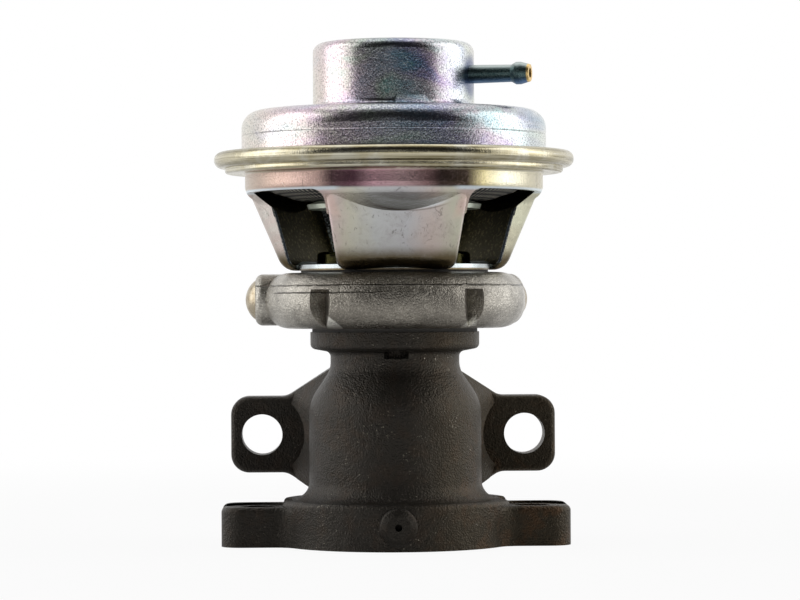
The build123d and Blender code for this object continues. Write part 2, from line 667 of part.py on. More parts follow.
def rolled_rim():
    """Band, bead channel and the rim rolled over the flange of the upper housing."""
    return turned(
        (CUP_RADIUS, BAND_JOIN, 0),
        (CUP_RADIUS, CHANNEL_BOTTOM, CHANNEL_BEND),
        (CHANNEL_RADIUS, CHANNEL_BOTTOM, CHANNEL_BEND),
        (CHANNEL_RADIUS, RIM_BOTTOM, 0),
        (RIM_RADIUS, RIM_BOTTOM, RIM_ROLL),
        (RIM_RADIUS, RIM_TOP, RIM_ROLL),
        (LIP_RADIUS, RIM_TOP, RIM_SHEET / 3),
        (LIP_RADIUS, FLANGE_TOP, 0),
        (FLANGE_POCKET_RADIUS, FLANGE_TOP, 0),
        (FLANGE_POCKET_RADIUS, CLAMP_FACE, 0),
        (BEAD_RADIUS, CLAMP_FACE, 0),
        (BEAD_RADIUS, CHANNEL_FLOOR, 0),
        (BAND_INNER_RADIUS, CHANNEL_FLOOR, CHANNEL_BEND + LOWER_SHEET),
        (BAND_INNER_RADIUS, BAND_JOIN, 0),
    )


def lower_housing():
    """Pressed cup on three channel-shaped legs, with the rolled rim round its mouth."""
    cup = cup_form(0, FLOOR_BOTTOM, BAND_JOIN) - cup_form(LOWER_SHEET, FLOOR_TOP, BAND_JOIN)
    cup += disc(FLOOR_PLATE_RADIUS, FLOOR_BOTTOM, FLOOR_TOP)
    cup -= window_tool()
    cup += rolled_rim()
    cup -= disc(FLOOR_BORE, FLOOR_BOTTOM, FLOOR_TOP)
    return cup - screw_holes(FLOOR_BOTTOM, FLOOR_TOP)


def housing_screw():
    """Low-head socket screw that clamps the cup floor, the ring and the body together."""
    head_bottom = FLOOR_TOP + WASHER_THICKNESS
    head_top = head_bottom + SCREW_HEAD_HEIGHT
    head = turned(
        (0, head_bottom, 0),
        (SCREW_HEAD_RADIUS, head_bottom, 0),
        (SCREW_HEAD_RADIUS, head_top, SCREW_HEAD_EDGE),
        (0, head_top, 0),
    )
    head -= hexagon(SCREW_SOCKET_WIDTH, head_top - SCREW_SOCKET_DEPTH, SCREW_SOCKET_DEPTH)
    return head + disc(SCREW_RADIUS, SCREW_HOLE_BOTTOM + SCREW_TIP_GAP, head_bottom)


def screw_washer():
    """Plain washer under a screw head."""
    bore = SCREW_RADIUS + FIT_GAP
    return washer(bore, WASHER_RADIUS, FLOOR_TOP, FLOOR_TOP + WASHER_THICKNESS)


# ================================================================ diaphragm, plates and spring
def diaphragm():
    """Rolling diaphragm: bead in the channel, convolution and the disc between the plates."""
    bead_height = CHANNEL_FLOOR + DIAPHRAGM_THICKNESS / 2
    bead_bore = DOME_INNER_RADIUS + FLANGE_BEND + UPPER_SHEET
    web = pressed(
        DIAPHRAGM_THICKNESS,
        (BEAD_RADIUS, bead_height, 0),
        (BAND_INNER_RADIUS - SIDE_GAP - DIAPHRAGM_THICKNESS / 2, bead_height, CONVOLUTION_SHOULDER),
        (CONVOLUTION_RADIUS, DIAPHRAGM_PLANE + CONVOLUTION_RISE, CONVOLUTION_BEND),
        (UPPER_PLATE_RADIUS + CONVOLUTION_GAP, DIAPHRAGM_PLANE, CONVOLUTION_BEND),
        (STEM_TAIL_RADIUS + FIT_GAP, DIAPHRAGM_PLANE, 0),
    )
    return web + washer(bead_bore, BEAD_RADIUS, CHANNEL_FLOOR, CLAMP_FACE)


def lower_plate():
    """Plate under the diaphragm with its edge flared down."""
    middle = LOWER_PLATE_TOP - PLATE_SHEET / 2
    return pressed(
        PLATE_SHEET,
        (STEM_TAIL_RADIUS + FIT_GAP, middle, 0),
        (LOWER_PLATE_FLAT, middle, PLATE_BEND),
        (LOWER_PLATE_RADIUS, middle - LOWER_PLATE_FLARE, 0),
    )


def upper_plate():
    """Spring cup above the diaphragm, whose rim meets the dome at full lift."""
    middle = UPPER_PLATE_BOTTOM + PLATE_SHEET / 2
    wall = UPPER_PLATE_RADIUS - PLATE_SHEET / 2
    return pressed(
        PLATE_SHEET,
        (STEM_TAIL_RADIUS + FIT_GAP, middle, 0),
        (wall, middle, PLATE_BEND),
        (wall, STOP_HEIGHT - LIFT - STOP_GAP, 0),
    )


def stem_washer():
    """Washer between the upper plate and the stem nut."""
    return washer(
        STEM_TAIL_RADIUS + FIT_GAP, STEM_WASHER_RADIUS, UPPER_PLATE_FLOOR, STEM_WASHER_TOP
    )


def return_spring():
    """Closing spring with ground ends."""
    length = SPRING_TOP - UPPER_PLATE_FLOOR
    coil = Helix(length / SPRING_COILS, length, SPRING_MEAN_RADIUS)
    wire = Plane(origin=coil @ 0, z_dir=coil % 0) * Circle(SPRING_WIRE_RADIUS)
    spring = sweep(wire, path=coil, is_frenet=True)
    outer = SPRING_MEAN_RADIUS + 2 * SPRING_WIRE_RADIUS
    return (Pos(0, 0, UPPER_PLATE_FLOOR) * spring) & disc(outer, UPPER_PLATE_FLOOR, SPRING_TOP)


def spring_seat():
    """Upper spring seat with a collar that centres the spring."""
    middle = SPRING_TOP + SPRING_SEAT_SHEET / 2
    collar = SPRING_MEAN_RADIUS - SPRING_WIRE_RADIUS - SIDE_GAP - SPRING_SEAT_SHEET / 2
    return pressed(
        SPRING_SEAT_SHEET,
        (CAP_INNER_RADIUS - CAP_CORNER + UPPER_SHEET - FIT_GAP, middle, 0),
        (collar, middle, SPRING_SEAT_SHEET),
        (collar, SPRING_TOP - SPRING_SEAT_COLLAR, 0),
    )


# ================================================================ upper housing
def gusset():
    """Pressed stiffening bump between the cap and the dome."""
    root = CAP_RADIUS - UPPER_SHEET / 2
    foot = CAP_FOOT_HEIGHT - UPPER_SHEET / 2
    ends = [
        Pos(root + GUSSET_REACH / 2, 0, foot) * Rectangle(GUSSET_REACH, GUSSET_WIDTH),
        Pos(root, 0, foot + GUSSET_HEIGHT + UPPER_SHEET / 2) * Rectangle(FIT_GAP, GUSSET_TOP_WIDTH),
    ]
    bump = loft(ends)
    rims = bump.edges().filter_by(lambda edge: edge.center().X > CAP_RADIUS + FIT_GAP)
    bump = fillet(rims.filter_by(lambda edge: edge.center().Z > CAP_FOOT_HEIGHT), GUSSET_EDGE)
    return Rot(0, 0, GUSSET_ANGLE) * bump


def upper_housing():
    """Two-step pressed cap with the flange that the lower housing is rolled over."""
    cap_wall_foot = CAP_FOOT_HEIGHT + DOME_SLOPE * UPPER_SHEET - UPPER_SHEET
    dome_inner_edge = DOME_EDGE_HEIGHT + DOME_SLOPE * UPPER_SHEET - UPPER_SHEET
    shell = turned(
        (0, CAP_TOP, 0),
        (CAP_RADIUS, CAP_TOP, CAP_CORNER),
        (CAP_RADIUS, CAP_FOOT_HEIGHT, CAP_FOOT_BEND),
        (DOME_RADIUS, DOME_EDGE_HEIGHT, DOME_CORNER),
        (DOME_RADIUS, FLANGE_TOP, FLANGE_BEND),
        (FLANGE_POCKET_RADIUS - FIT_GAP, FLANGE_TOP, 0),
        (FLANGE_POCKET_RADIUS - FIT_GAP, CLAMP_FACE, 0),
        (DOME_INNER_RADIUS, CLAMP_FACE, FLANGE_BEND + UPPER_SHEET),
        (DOME_INNER_RADIUS, dome_inner_edge, DOME_CORNER - UPPER_SHEET),
        (CAP_INNER_RADIUS, cap_wall_foot, CAP_FOOT_BEND + UPPER_SHEET),
        (CAP_INNER_RADIUS, CAP_CEILING, CAP_CORNER - UPPER_SHEET),
        (0, CAP_CEILING, 0),
    )
    hole = Pos(0, 0, CAP_INNER_RADIUS / 2) * extrude(Circle(NIPPLE_ROOT_RADIUS), CAP_RADIUS)
    return shell + gusset() - outward(NIPPLE_ANGLE, NIPPLE_HEIGHT) * hole


def vacuum_nipple():
    """Hose nipple pressed into the side of the cap, with a barb at its tip."""
    tube = turned(
        (NIPPLE_BORE, CAP_INNER_RADIUS - NIPPLE_INNER_REACH, 0),
        (NIPPLE_ROOT_RADIUS, CAP_INNER_RADIUS - NIPPLE_INNER_REACH, 0),
        (NIPPLE_ROOT_RADIUS, CAP_RADIUS + UPPER_SHEET / 2, 0),
        (NIPPLE_RADIUS, NIPPLE_TIP - BARB_START, 0),
        (BARB_RADIUS, NIPPLE_TIP - BARB_PEAK - BARB_LAND / 2, 0),
        (BARB_RADIUS, NIPPLE_TIP - BARB_PEAK + BARB_LAND / 2, 0),
        (NIPPLE_RADIUS, NIPPLE_TIP, 0),
        (NIPPLE_BORE, NIPPLE_TIP, 0),
    )
    return outward(NIPPLE_ANGLE, NIPPLE_HEIGHT) * tube


# ================================================================ nodes
nodes = {
    "valve_body": [valve_body()],
    "valve_seat": [valve_seat()],
    "poppet": [poppet()],
    "poppet_nut": [threaded_nut(POPPET_BOTTOM - POPPET_NUT_HEIGHT, POPPET_NUT_HEIGHT)],
    "valve_stem": [valve_stem()],
    "stem_guide_bush": [stem_guide_bush()],
    "soot_deflector": [soot_deflector()],
    "stem_seal": [stem_seal()],
    "seal_retainer": [seal_retainer()],
    "body_gasket": [gasket(RING_BORE, COLLAR_RADIUS - SIDE_GAP, COLLAR_TOP, RING_BOTTOM)],
    "spacer_ring": [spacer_ring()],
    "core_plug_left": [core_plug(PLUG_LEFT_ANGLE)],
    "core_plug_right": [core_plug(PLUG_RIGHT_ANGLE)],
    "housing_gasket": [gasket(SEAL_POCKET_RADIUS, FLOOR_PLATE_RADIUS - SIDE_GAP, RING_TOP, FLOOR_BOTTOM)],
    "lower_housing": [lower_housing()],
    "housing_screws": at_screws(housing_screw()),
    "screw_washers": at_screws(screw_washer()),
    "diaphragm": [diaphragm()],
    "lower_plate": [lower_plate()],
    "upper_plate": [upper_plate()],
    "stem_washer": [stem_washer()],
    "stem_nut": [threaded_nut(STEM_WASHER_TOP, STEM_NUT_HEIGHT)],
    "return_spring": [return_spring()],
    "spring_seat": [spring_seat()],
    "upper_housing": [upper_housing()],
    "vacuum_nipple": [vacuum_nipple()],
}

os.makedirs("parts", exist_ok=True)
for node, solids in nodes.items():
    shape = solids[0] if len(solids) == 1 else Compound(children=solids)
    export_step(shape, f"parts/{node}.step")
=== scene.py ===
"""Dresses, lights and frames a vacuum-operated exhaust gas recirculation valve."""

import logging
from collections.abc import Iterable
from dataclasses import dataclass
from enum import Enum
from functools import cached_property
from math import cos, pi, radians, sin

import bpy
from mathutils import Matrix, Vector


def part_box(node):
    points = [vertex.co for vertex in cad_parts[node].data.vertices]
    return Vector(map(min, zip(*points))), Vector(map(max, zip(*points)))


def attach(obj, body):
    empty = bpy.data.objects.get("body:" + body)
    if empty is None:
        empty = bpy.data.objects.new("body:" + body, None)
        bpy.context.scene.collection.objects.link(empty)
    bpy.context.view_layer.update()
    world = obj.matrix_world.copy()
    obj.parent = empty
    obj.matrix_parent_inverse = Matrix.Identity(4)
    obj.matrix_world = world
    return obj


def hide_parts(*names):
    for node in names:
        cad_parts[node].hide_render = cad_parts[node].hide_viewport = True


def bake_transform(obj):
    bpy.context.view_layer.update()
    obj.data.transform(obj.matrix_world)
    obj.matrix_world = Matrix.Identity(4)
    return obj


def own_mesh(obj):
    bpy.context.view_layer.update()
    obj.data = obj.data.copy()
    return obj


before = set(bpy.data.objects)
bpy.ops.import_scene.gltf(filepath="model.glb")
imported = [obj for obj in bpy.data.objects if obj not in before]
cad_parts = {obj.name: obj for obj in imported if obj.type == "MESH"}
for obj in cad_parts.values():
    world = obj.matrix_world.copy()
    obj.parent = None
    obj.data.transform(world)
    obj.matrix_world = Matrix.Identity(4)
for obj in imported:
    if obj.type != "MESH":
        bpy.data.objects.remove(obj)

LOG = logging.getLogger("egr_valve")
MM = 0.001
Colour = tuple[float, float, float]
Triple = tuple[float, float, float]
Span = tuple[float, float]
Stops = Iterable[tuple[float, Colour]]


class Body(Enum):
    """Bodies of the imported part."""

    HOUSING = "housing"
    VALVE = "valve"


class Blend(Enum):
    """Ways to lay one tone on another."""

    COVER = "MIX"
    DARKEN = "MULTIPLY"


class Ray(Enum):
    """Rays that see the white room: straight ones, reflected ones and ones through glass."""

    SEEN = "Is Camera Ray"
    MIRRORED = "Is Glossy Ray"
    PASSED = "Is Transmission Ray"


class Fill(Enum):
    """Ways to start a circle: as an open loop of edges or as a disc."""

    OPEN = "NOTHING"
    DISC = "NGON"


class Pick(Enum):
    """What is selected when an edit starts."""

    ALL = "SELECT"
    NOTHING = "DESELECT"


# ---------------------------------------------------------------- patterns and stains
@dataclass(frozen=True)
class Noise:
    """Cloudy pattern: features per millimetre, finer layers, their strength, twist, stretch."""

    scale: float
    detail: float = 3.0
    roughness: float = 0.5
    twist: float = 0.0
    stretch: Triple = (1.0, 1.0, 1.0)


@dataclass(frozen=True)
class Stain:
    """Tone that comes in where a pattern goes from one value, low, to another, high."""

    low: float
    high: float
    share: float
    tone: Colour
    blend: Blend = Blend.COVER


@dataclass(frozen=True)
class Level:
    """Value that is a base where a pattern is 0 and changes by a gain where it is 1."""

    base: float
    gain: float

    def over(self, pattern: "Wire") -> "Wire":
        """The value over a pattern."""
        return pattern * self.gain + self.base


# ---------------------------------------------------------------- shader graphs
class Wire:
    """One output of a shader node that takes part in arithmetic."""

    def __init__(self, graph: "Graph", socket: bpy.types.NodeSocket) -> None:
        """Keeps the graph and the output."""
        self.graph = graph
        self.socket = socket

    def __add__(self, other: "Wire | float") -> "Wire":
        """Sum."""
        return self.graph.math("ADD", self, other)

    __radd__ = __add__

    def __sub__(self, other: "Wire | float") -> "Wire":
        """Difference."""
        return self.graph.math("SUBTRACT", self, other)

    def __rsub__(self, other: "Wire | float") -> "Wire":
        """Difference with the wire as the second term."""
        return self.graph.math("SUBTRACT", other, self)

    def __mul__(self, other: "Wire | float") -> "Wire":
        """Product."""
        return self.graph.math("MULTIPLY", self, other)

    __rmul__ = __mul__

    def __truediv__(self, other: "Wire | float") -> "Wire":
        """Quotient."""
        return self.graph.math("DIVIDE", self, other)

    def __rtruediv__(self, other: "Wire | float") -> "Wire":
        """Quotient with the wire as the divisor."""
        return self.graph.math("DIVIDE", other, self)

    def __mod__(self, other: "Wire | float") -> "Wire":
        """Remainder."""
        return self.graph.math("MODULO", self, other)

    def __pow__(self, other: "Wire | float") -> "Wire":
        """Power."""
        return self.graph.math("POWER", self, other)

    def __abs__(self) -> "Wire":
        """Absolute value."""
        return self.graph.math("ABSOLUTE", self)

    def sine(self) -> "Wire":
        """Sine of an angle in radians."""
        return self.graph.math("SINE", self)

    def at_most(self, limit: float) -> "Wire":
        """The smaller of the value and a limit."""
        return self.graph.math("MINIMUM", self, limit)

    def rise(self, low: float, high: float) -> "Wire":
        """Smooth step from 0 at low to 1 at high.

        Args:
            low: value at which the step starts.
            high: value at which it ends; below low the step falls.

        Returns:
            The step.
        """
        ends = (low, high, 0.0, 1.0) if low < high else (high, low, 1.0, 0.0)
        values = dict(zip(("From Min", "From Max", "To Min", "To Max"), ends))
        return self.graph.wire("ShaderNodeMapRange", "Result",
                               {"interpolation_type": "SMOOTHSTEP"}, {"Value": self, **values})

    def between(self, low: float, high: float, edge: float) -> "Wire":
        """Band that is 1 between two values and falls off over an edge width."""
        return self.rise(low - edge, low + edge) * self.rise(high + edge, high - edge)


class Graph:
    """Node tree in which one method adds every node."""

    def __init__(self, tree: bpy.types.NodeTree) -> None:
        """Empties the tree."""
        self.tree = tree
        self.tree.nodes.clear()

    def node(self, kind: str, settings: dict | None = None,
             values: dict | None = None) -> bpy.types.Node:
        """Adds a node, sets it up and fills its inputs.

        Args:
            kind: the node's type.
            settings: its properties; "stops" are a ramp's places and colours.
            values: numbers, colours or wires by input.

        Returns:
            The node.
        """
        node = self.tree.nodes.new(kind)
        for key, value in (settings or {}).items():
            if key == "stops":
                self._fill(node.color_ramp, list(value))
            else:
                setattr(node, key, value)
        for key, value in (values or {}).items():
            slot = node.inputs[key]
            if isinstance(value, Wire):
                self.tree.links.new(value.socket, slot)
            elif slot.type == "RGBA":
                slot.default_value = (*value, 1.0)
            else:
                slot.default_value = value
        return node

    @staticmethod
    def _fill(ramp: bpy.types.ColorRamp, stops: list[tuple[float, Colour]]) -> None:
        """Fills a colour ramp with places and colours.

        Args:
            ramp: the ramp to fill.
            stops: its places from 0 to 1 and their colours.
        """
        while len(ramp.elements) < len(stops):
            ramp.elements.new(1.0)
        for element, (place, colour) in zip(ramp.elements, stops):
            element.position = place
            element.color = (*colour, 1.0)

    def wire(self, kind: str, output: str | int, settings: dict | None = None,
             values: dict | None = None) -> Wire:
        """Adds a node as node() does and gives one of its outputs."""
        return Wire(self, self.node(kind, settings, values).outputs[output])

    def math(self, operation: str, *values: Wire | float) -> Wire:
        """Adds a Math node with its inputs in order and gives its result."""
        return self.wire("ShaderNodeMath", 0, {"operation": operation}, dict(enumerate(values)))

    def split(self, vector: Wire) -> tuple[Wire, Wire, Wire]:
        """Three parts of a vector."""
        node = self.node("ShaderNodeSeparateXYZ", values={"Vector": vector})
        return tuple(Wire(self, output) for output in node.outputs)

    def rays(self) -> tuple[Wire, ...]:
        """Shares of straight, reflected and see-through rays."""
        node = self.node("ShaderNodeLightPath")
        return tuple(Wire(self, node.outputs[ray.value]) for ray in Ray)

    def close(self, kind: str, shader: Wire) -> None:
        """Ends the graph in an output node of a kind."""
        self.node(kind, values={"Surface": shader})


class Surface(Graph):
    """Material graph that reads the part's own space in millimetres."""

    def __init__(self, name: str) -> None:
        """Starts an empty material of a name.

        Args:
            name: the material's name.
        """
        self.material = bpy.data.materials.new(name)
        self.material.use_nodes = True
        super().__init__(self.material.node_tree)
        where = self.node("ShaderNodeTexCoord")
        self.facing = Wire(self, where.outputs["Normal"])
        self.point = self.wire("ShaderNodeVectorMath", "Vector", {"operation": "SCALE"},
                               {0: Wire(self, where.outputs["Object"]), "Scale": 1 / MM})
        self.x, self.y, self.z = self.split(self.point)

    @cached_property
    def radius(self) -> Wire:
        """Distance from the stem axis."""
        return (self.x * self.x + self.y * self.y) ** 0.5

    @cached_property
    def angle(self) -> Wire:
        """Angle round the stem axis in degrees, 0 at the front and growing to the right."""
        return self.math("ARCTAN2", self.x, self.y * -1.0) * (180 / pi)

    @cached_property
    def outward(self) -> Wire:
        """1 where a face looks away from the stem axis, -1 where it looks towards it."""
        facing_x, facing_y, _ = self.split(self.facing)
        return (facing_x * self.x + facing_y * self.y) / self.radius

    def joined(self, x: Wire | float, y: Wire | float, z: Wire | float) -> Wire:
        """A vector made of three values."""
        return self.wire("ShaderNodeCombineXYZ", "Vector", values={"X": x, "Y": y, "Z": z})

    def noise(self, pattern: Noise, space: Wire | None = None) -> Wire:
        """Cloudy noise.

        Args:
            pattern: its scale, layers and distortion.
            space: where it is read, the part's space if it is None.

        Returns:
            The noise from 0 to 1.
        """
        place = space or self.point
        if pattern.stretch != Noise.stretch:
            place = self.wire("ShaderNodeMapping", "Vector",
                              values={"Vector": place, "Scale": pattern.stretch})
        values = {"Vector": place, "Scale": pattern.scale, "Detail": pattern.detail,
                  "Roughness": pattern.roughness, "Distortion": pattern.twist}
        return self.wire("ShaderNodeTexNoise", "Fac", values=values)

    def mix(self, share: Wire | float, first: Wire | Colour, second: Wire | Colour,
            blend: Blend = Blend.COVER) -> Wire:
        """Blend of two colours.

        Args:
            share: share of the second colour.
            first: the first colour.
            second: the second colour.
            blend: how the second is laid on the first.

        Returns:
            The colour.
        """
        settings = {"data_type": "RGBA", "blend_type": blend.value}
        return self.wire("ShaderNodeMix", 2, settings, {0: share, 6: first, 7: second})

    def stain(self, colour: Wire | Colour, pattern: Wire, stain: Stain,
              within: Wire | float = 1.0) -> Wire:
        """Lays a stain on a colour.

        Args:
            colour: the colour below.
            pattern: the pattern that the stain follows.
            stain: its range in the pattern, share and tone.
            within: where it may show, from 0 to 1.

        Returns:
            The stained colour.
        """
        share = pattern.rise(stain.low, stain.high) * stain.share
        if isinstance(within, Wire):
            share = share * within
        return self.mix(share, colour, stain.tone, stain.blend)

    def ramp(self, value: Wire, stops: Stops) -> Wire:
        """Colour by value."""
        return self.wire("ShaderNodeValToRGB", "Color", {"stops": stops}, {"Fac": value})

    def half_turn(self, angle: Wire, stops: Stops) -> Wire:
        """Colour by angle over the front half, from the left side at 0 to the right at 1."""
        return self.ramp((angle + 90.0) / 180.0, stops)

    def bump(self, height: Wire, depth: float, below: Wire | None = None) -> Wire:
        """Relief.

        Args:
            height: relief from 0 to 1.
            depth: its depth in millimetres.
            below: normal that it is laid on.

        Returns:
            The normal.
        """
        values = {"Height": height, "Distance": depth * MM, "Strength": 1.0}
        if below is not None:
            values["Normal"] = below
        return self.wire("ShaderNodeBump", "Normal", values=values)

    def shade(self, **values: Wire | float | Colour) -> None:
        """Ends the graph in a Principled shader.

        Args:
            values: its inputs, with spaces in their names written as underscores.
        """
        inputs = {name.replace("_", " "): value for name, value in values.items()}
        shader = self.wire("ShaderNodeBsdfPrincipled", "BSDF", values=inputs)
        self.close("ShaderNodeOutputMaterial", shader)


# ---------------------------------------------------------------- finishes
@dataclass(frozen=True)
class Finish:
    """A finish with its own procedural material."""

    name: str

    def paint(self, graph: Surface) -> None:
        """Builds the finish in a graph."""
        raise NotImplementedError

    def material(self) -> bpy.types.Material:
        """The finish as a new material.

        Returns:
            The material, ready for a piece.
        """
        graph = Surface(self.name)
        self.paint(graph)
        return graph.material


@dataclass(frozen=True)
class SandCastIron(Finish):
    """Dark iron casting: sand grain, scale, painted glints (highlights) on the grain and faint
    rust.
    """

    name: str = "sand_cast_iron"
    skin: Colour = (0.042, 0.037, 0.031)
    warm: Stain = Stain(0.0, 14.0, 1.0, (0.052, 0.042, 0.028))
    # painted highlight: bright glints on the grain, only inside patches
    glints: Stain = Stain(0.64, 0.70, 0.8, (0.34, 0.31, 0.25))
    rust: Colour = (0.095, 0.052, 0.026)
    rusty: Span = (0.46, 0.68)
    rust_amount: Level = Level(0.14, 0.6)
    rust_side: Span = (2.0, 34.0)
    rust_height: Span = (32.0, 6.0)
    glint_patches: Span = (0.50, 0.66)
    grain: Noise = Noise(2.7, 1.0, 0.5)
    pits: Noise = Noise(0.8, 3.0, 0.6)
    waves: Noise = Noise(0.09, 2.0)
    glint_patch_noise: Noise = Noise(0.16, 2.0)
    sparkle: Noise = Noise(2.2, 2.0, 0.6)
    rusting: Noise = Noise(0.22, 4.0, 0.6, twist=0.4)
    wave_depth: float = 0.7
    pit_depth: float = 0.14
    grain_depth: float = 0.26
    boss_height: float = 5.0
    boss_radius: float = 4.0
    boss_flat: float = 0.62
    boss_front: Span = (-16.0, -18.0)
    boss_crown: float = 2.2
    metal: float = 0.80
    gloss: Level = Level(0.38, 0.12)
    glint_gloss: float = 0.20

    def paint(self, graph: Surface) -> None:
        """Lays painted glints (highlights), rust and relief over the dark skin.

        Args:
            graph: the graph to build in.
        """
        pits = graph.noise(self.pits)
        glint_patches = graph.noise(self.glint_patch_noise).rise(*self.glint_patches)
        sparkle = graph.noise(self.sparkle)
        # painted highlight: glints where the sparkle is high inside the patches, also less rough
        # there
        glint = sparkle.rise(self.glints.low, self.glints.high) * glint_patches
        colour = graph.stain(self.skin, graph.x, self.warm)
        colour = graph.stain(colour, sparkle, self.glints, glint_patches)
        colour = graph.mix(self.rusted(graph), colour, self.rust)
        relief = graph.bump(graph.noise(self.waves), self.wave_depth)
        relief = graph.bump(self.boss(graph), self.boss_crown, relief)
        relief = graph.bump(pits, self.pit_depth, relief)
        relief = graph.bump(graph.noise(self.grain), self.grain_depth, relief)
        graph.shade(Base_Color=colour, Metallic=self.metal, Normal=relief,
                    Roughness=self.gloss.over(pits) - glint * self.glint_gloss)

    def rusted(self, graph: Surface) -> Wire:
        """Share of rust, most of it towards the right foot."""
        low_right = graph.x.rise(*self.rust_side) * graph.z.rise(*self.rust_height)
        return graph.noise(self.rusting).rise(*self.rusty) * self.rust_amount.over(low_right)

    def boss(self, graph: Surface) -> Wire:
        """Domed face of the front boss.

        Args:
            graph: the graph to build in.

        Returns:
            Its height from 0 at the edge to 1 on the flat.
        """
        up = graph.z - self.boss_height
        reach = (graph.x * graph.x + up * up) ** 0.5
        dome = reach.rise(self.boss_radius, self.boss_radius * self.boss_flat)
        return dome * graph.y.rise(*self.boss_front)


@dataclass(frozen=True)
class SandCastAluminium(Finish):
    """Raw aluminium casting with a fine sand grain, dull clouds, pores and flash lines, with
    painted shade across the front and painted highlights at the notch feet.
    """

    name: str = "sand_cast_aluminium"
    skin: Colour = (0.58, 0.55, 0.49)
    line_tone: Colour = (0.045, 0.040, 0.033)
    parting_share: float = 0.75
    flash_share: float = 0.65
    dull_cloud: Stain = Stain(0.36, 0.70, 0.7, (0.24, 0.225, 0.20))
    dull_grain: Stain = Stain(0.44, 0.56, 0.45, (0.24, 0.225, 0.20))
    pale_grain: Stain = Stain(0.42, 0.34, 0.4, (0.88, 0.85, 0.77))
    pores: Stain = Stain(0.64, 0.72, 0.7, (0.045, 0.040, 0.033))
    # painted shade: the ring is darkened across its front, within about 60 degrees of the middle
    front: Stain = Stain(62.0, 26.0, 0.55, (0.32, 0.29, 0.25), Blend.DARKEN)
    # painted highlight: a lit facet at the foot of each front notch
    notch_highlight: Stain = Stain(0.0, 0.4, 0.8, (0.94, 0.92, 0.84))
    grain: Noise = Noise(2.9, 2.0, 0.6)
    cloud: Noise = Noise(0.16, 4.0, 0.62)
    drift: Noise = Noise(0.5, 2.0)
    holes: Noise = Noise(1.1, 3.0, 0.7)
    notch_highlight_left: float = 11.3
    notch_highlight_right: float = 14.6
    notch_highlight_edge: float = 0.3
    notch_highlight_top: float = 49.4
    notch_highlight_slope: float = 0.8
    notch_highlight_shift: float = 2.0
    notch_highlight_side: Span = (-1.0, 1.0)
    notch_highlight_front: Span = (-18.0, -20.0)
    parting: float = 55.4
    parting_half: float = 0.12
    parting_worn: Span = (0.30, 0.50)
    parting_strength: Level = Level(0.4, 0.6)
    flash: float = 53.9
    flash_half: float = 0.10
    flash_sweep: Triple = (-66.0, -6.0, 4.0)
    line_edge: float = 0.10
    line_drift: float = 0.5
    line_depth: float = 0.25
    cloud_depth: float = 0.5
    grain_depth: float = 0.20
    metal: float = 0.92
    gloss: Level = Level(0.23, 0.12)

    def paint(self, graph: Surface) -> None:
        """Lays tones, pores, painted shade across the front, painted highlights at the notch feet
        and two flash lines over the skin.

        Args:
            graph: the graph to build in.
        """
        grain, cloud = graph.noise(self.grain), graph.noise(self.cloud)
        colour = graph.stain(self.skin, cloud, self.dull_cloud)
        colour = graph.stain(colour, grain, self.dull_grain)
        colour = graph.stain(colour, grain, self.pale_grain)
        colour = graph.stain(colour, graph.noise(self.holes), self.pores)
        # painted shade across the front of the ring
        colour = graph.stain(colour, abs(graph.angle), self.front)
        # painted highlights at the notch feet
        colour = self.notch_highlighted(graph, colour)
        parting, flash = self.lines(graph)
        colour = graph.mix(parting * self.parting_share, colour, self.line_tone)
        colour = graph.mix(flash * self.flash_share, colour, self.line_tone)
        relief = graph.bump(cloud, self.cloud_depth)
        relief = graph.bump(parting + flash, self.line_depth, relief)
        relief = graph.bump(grain, self.grain_depth, relief)
        graph.shade(Base_Color=colour, Metallic=self.metal, Normal=relief,
                    Roughness=self.gloss.over(cloud))

    def notch_highlighted(self, graph: Surface, colour: Wire) -> Wire:
        """Painted highlights, lit facets, at the feet of the two front notches.

        Args:
            graph: the graph to build in.
            colour: the colour below.

        Returns:
            The colour with the painted highlights.
        """
        reach = abs(graph.x) - graph.x.rise(*self.notch_highlight_side) * self.notch_highlight_shift
        below = self.notch_highlight_top - (self.notch_highlight_right - reach) * self.notch_highlight_slope - graph.z
        foot = reach.between(self.notch_highlight_left, self.notch_highlight_right, self.notch_highlight_edge)
        return graph.stain(colour, below, self.notch_highlight, foot * graph.y.rise(*self.notch_highlight_front))

    def lines(self, graph: Surface) -> tuple[Wire, Wire]:
        """The parting line all round and the short flash line on the left.

        Args:
            graph: the graph to build in.

        Returns:
            The share of each line, the parting line first.
        """
        wave = graph.noise(self.drift)
        height = graph.z + (wave - 0.5) * self.line_drift
        half = self.parting_half
        parting = height.between(self.parting - half, self.parting + half, self.line_edge)
        half = self.flash_half
        flash = height.between(self.flash - half, self.flash + half, self.line_edge)
        flash = flash * graph.angle.between(*self.flash_sweep)
        return parting * self.parting_strength.over(wave.rise(*self.parting_worn)), flash


@dataclass(frozen=True)
class CupPatterns:
    """Patterns that the zones of the pressed cup share."""

    cloud: Wire
    smudge: Wire
    grain: Wire
    front: Wire
    on_band: Wire
    on_rim: Wire


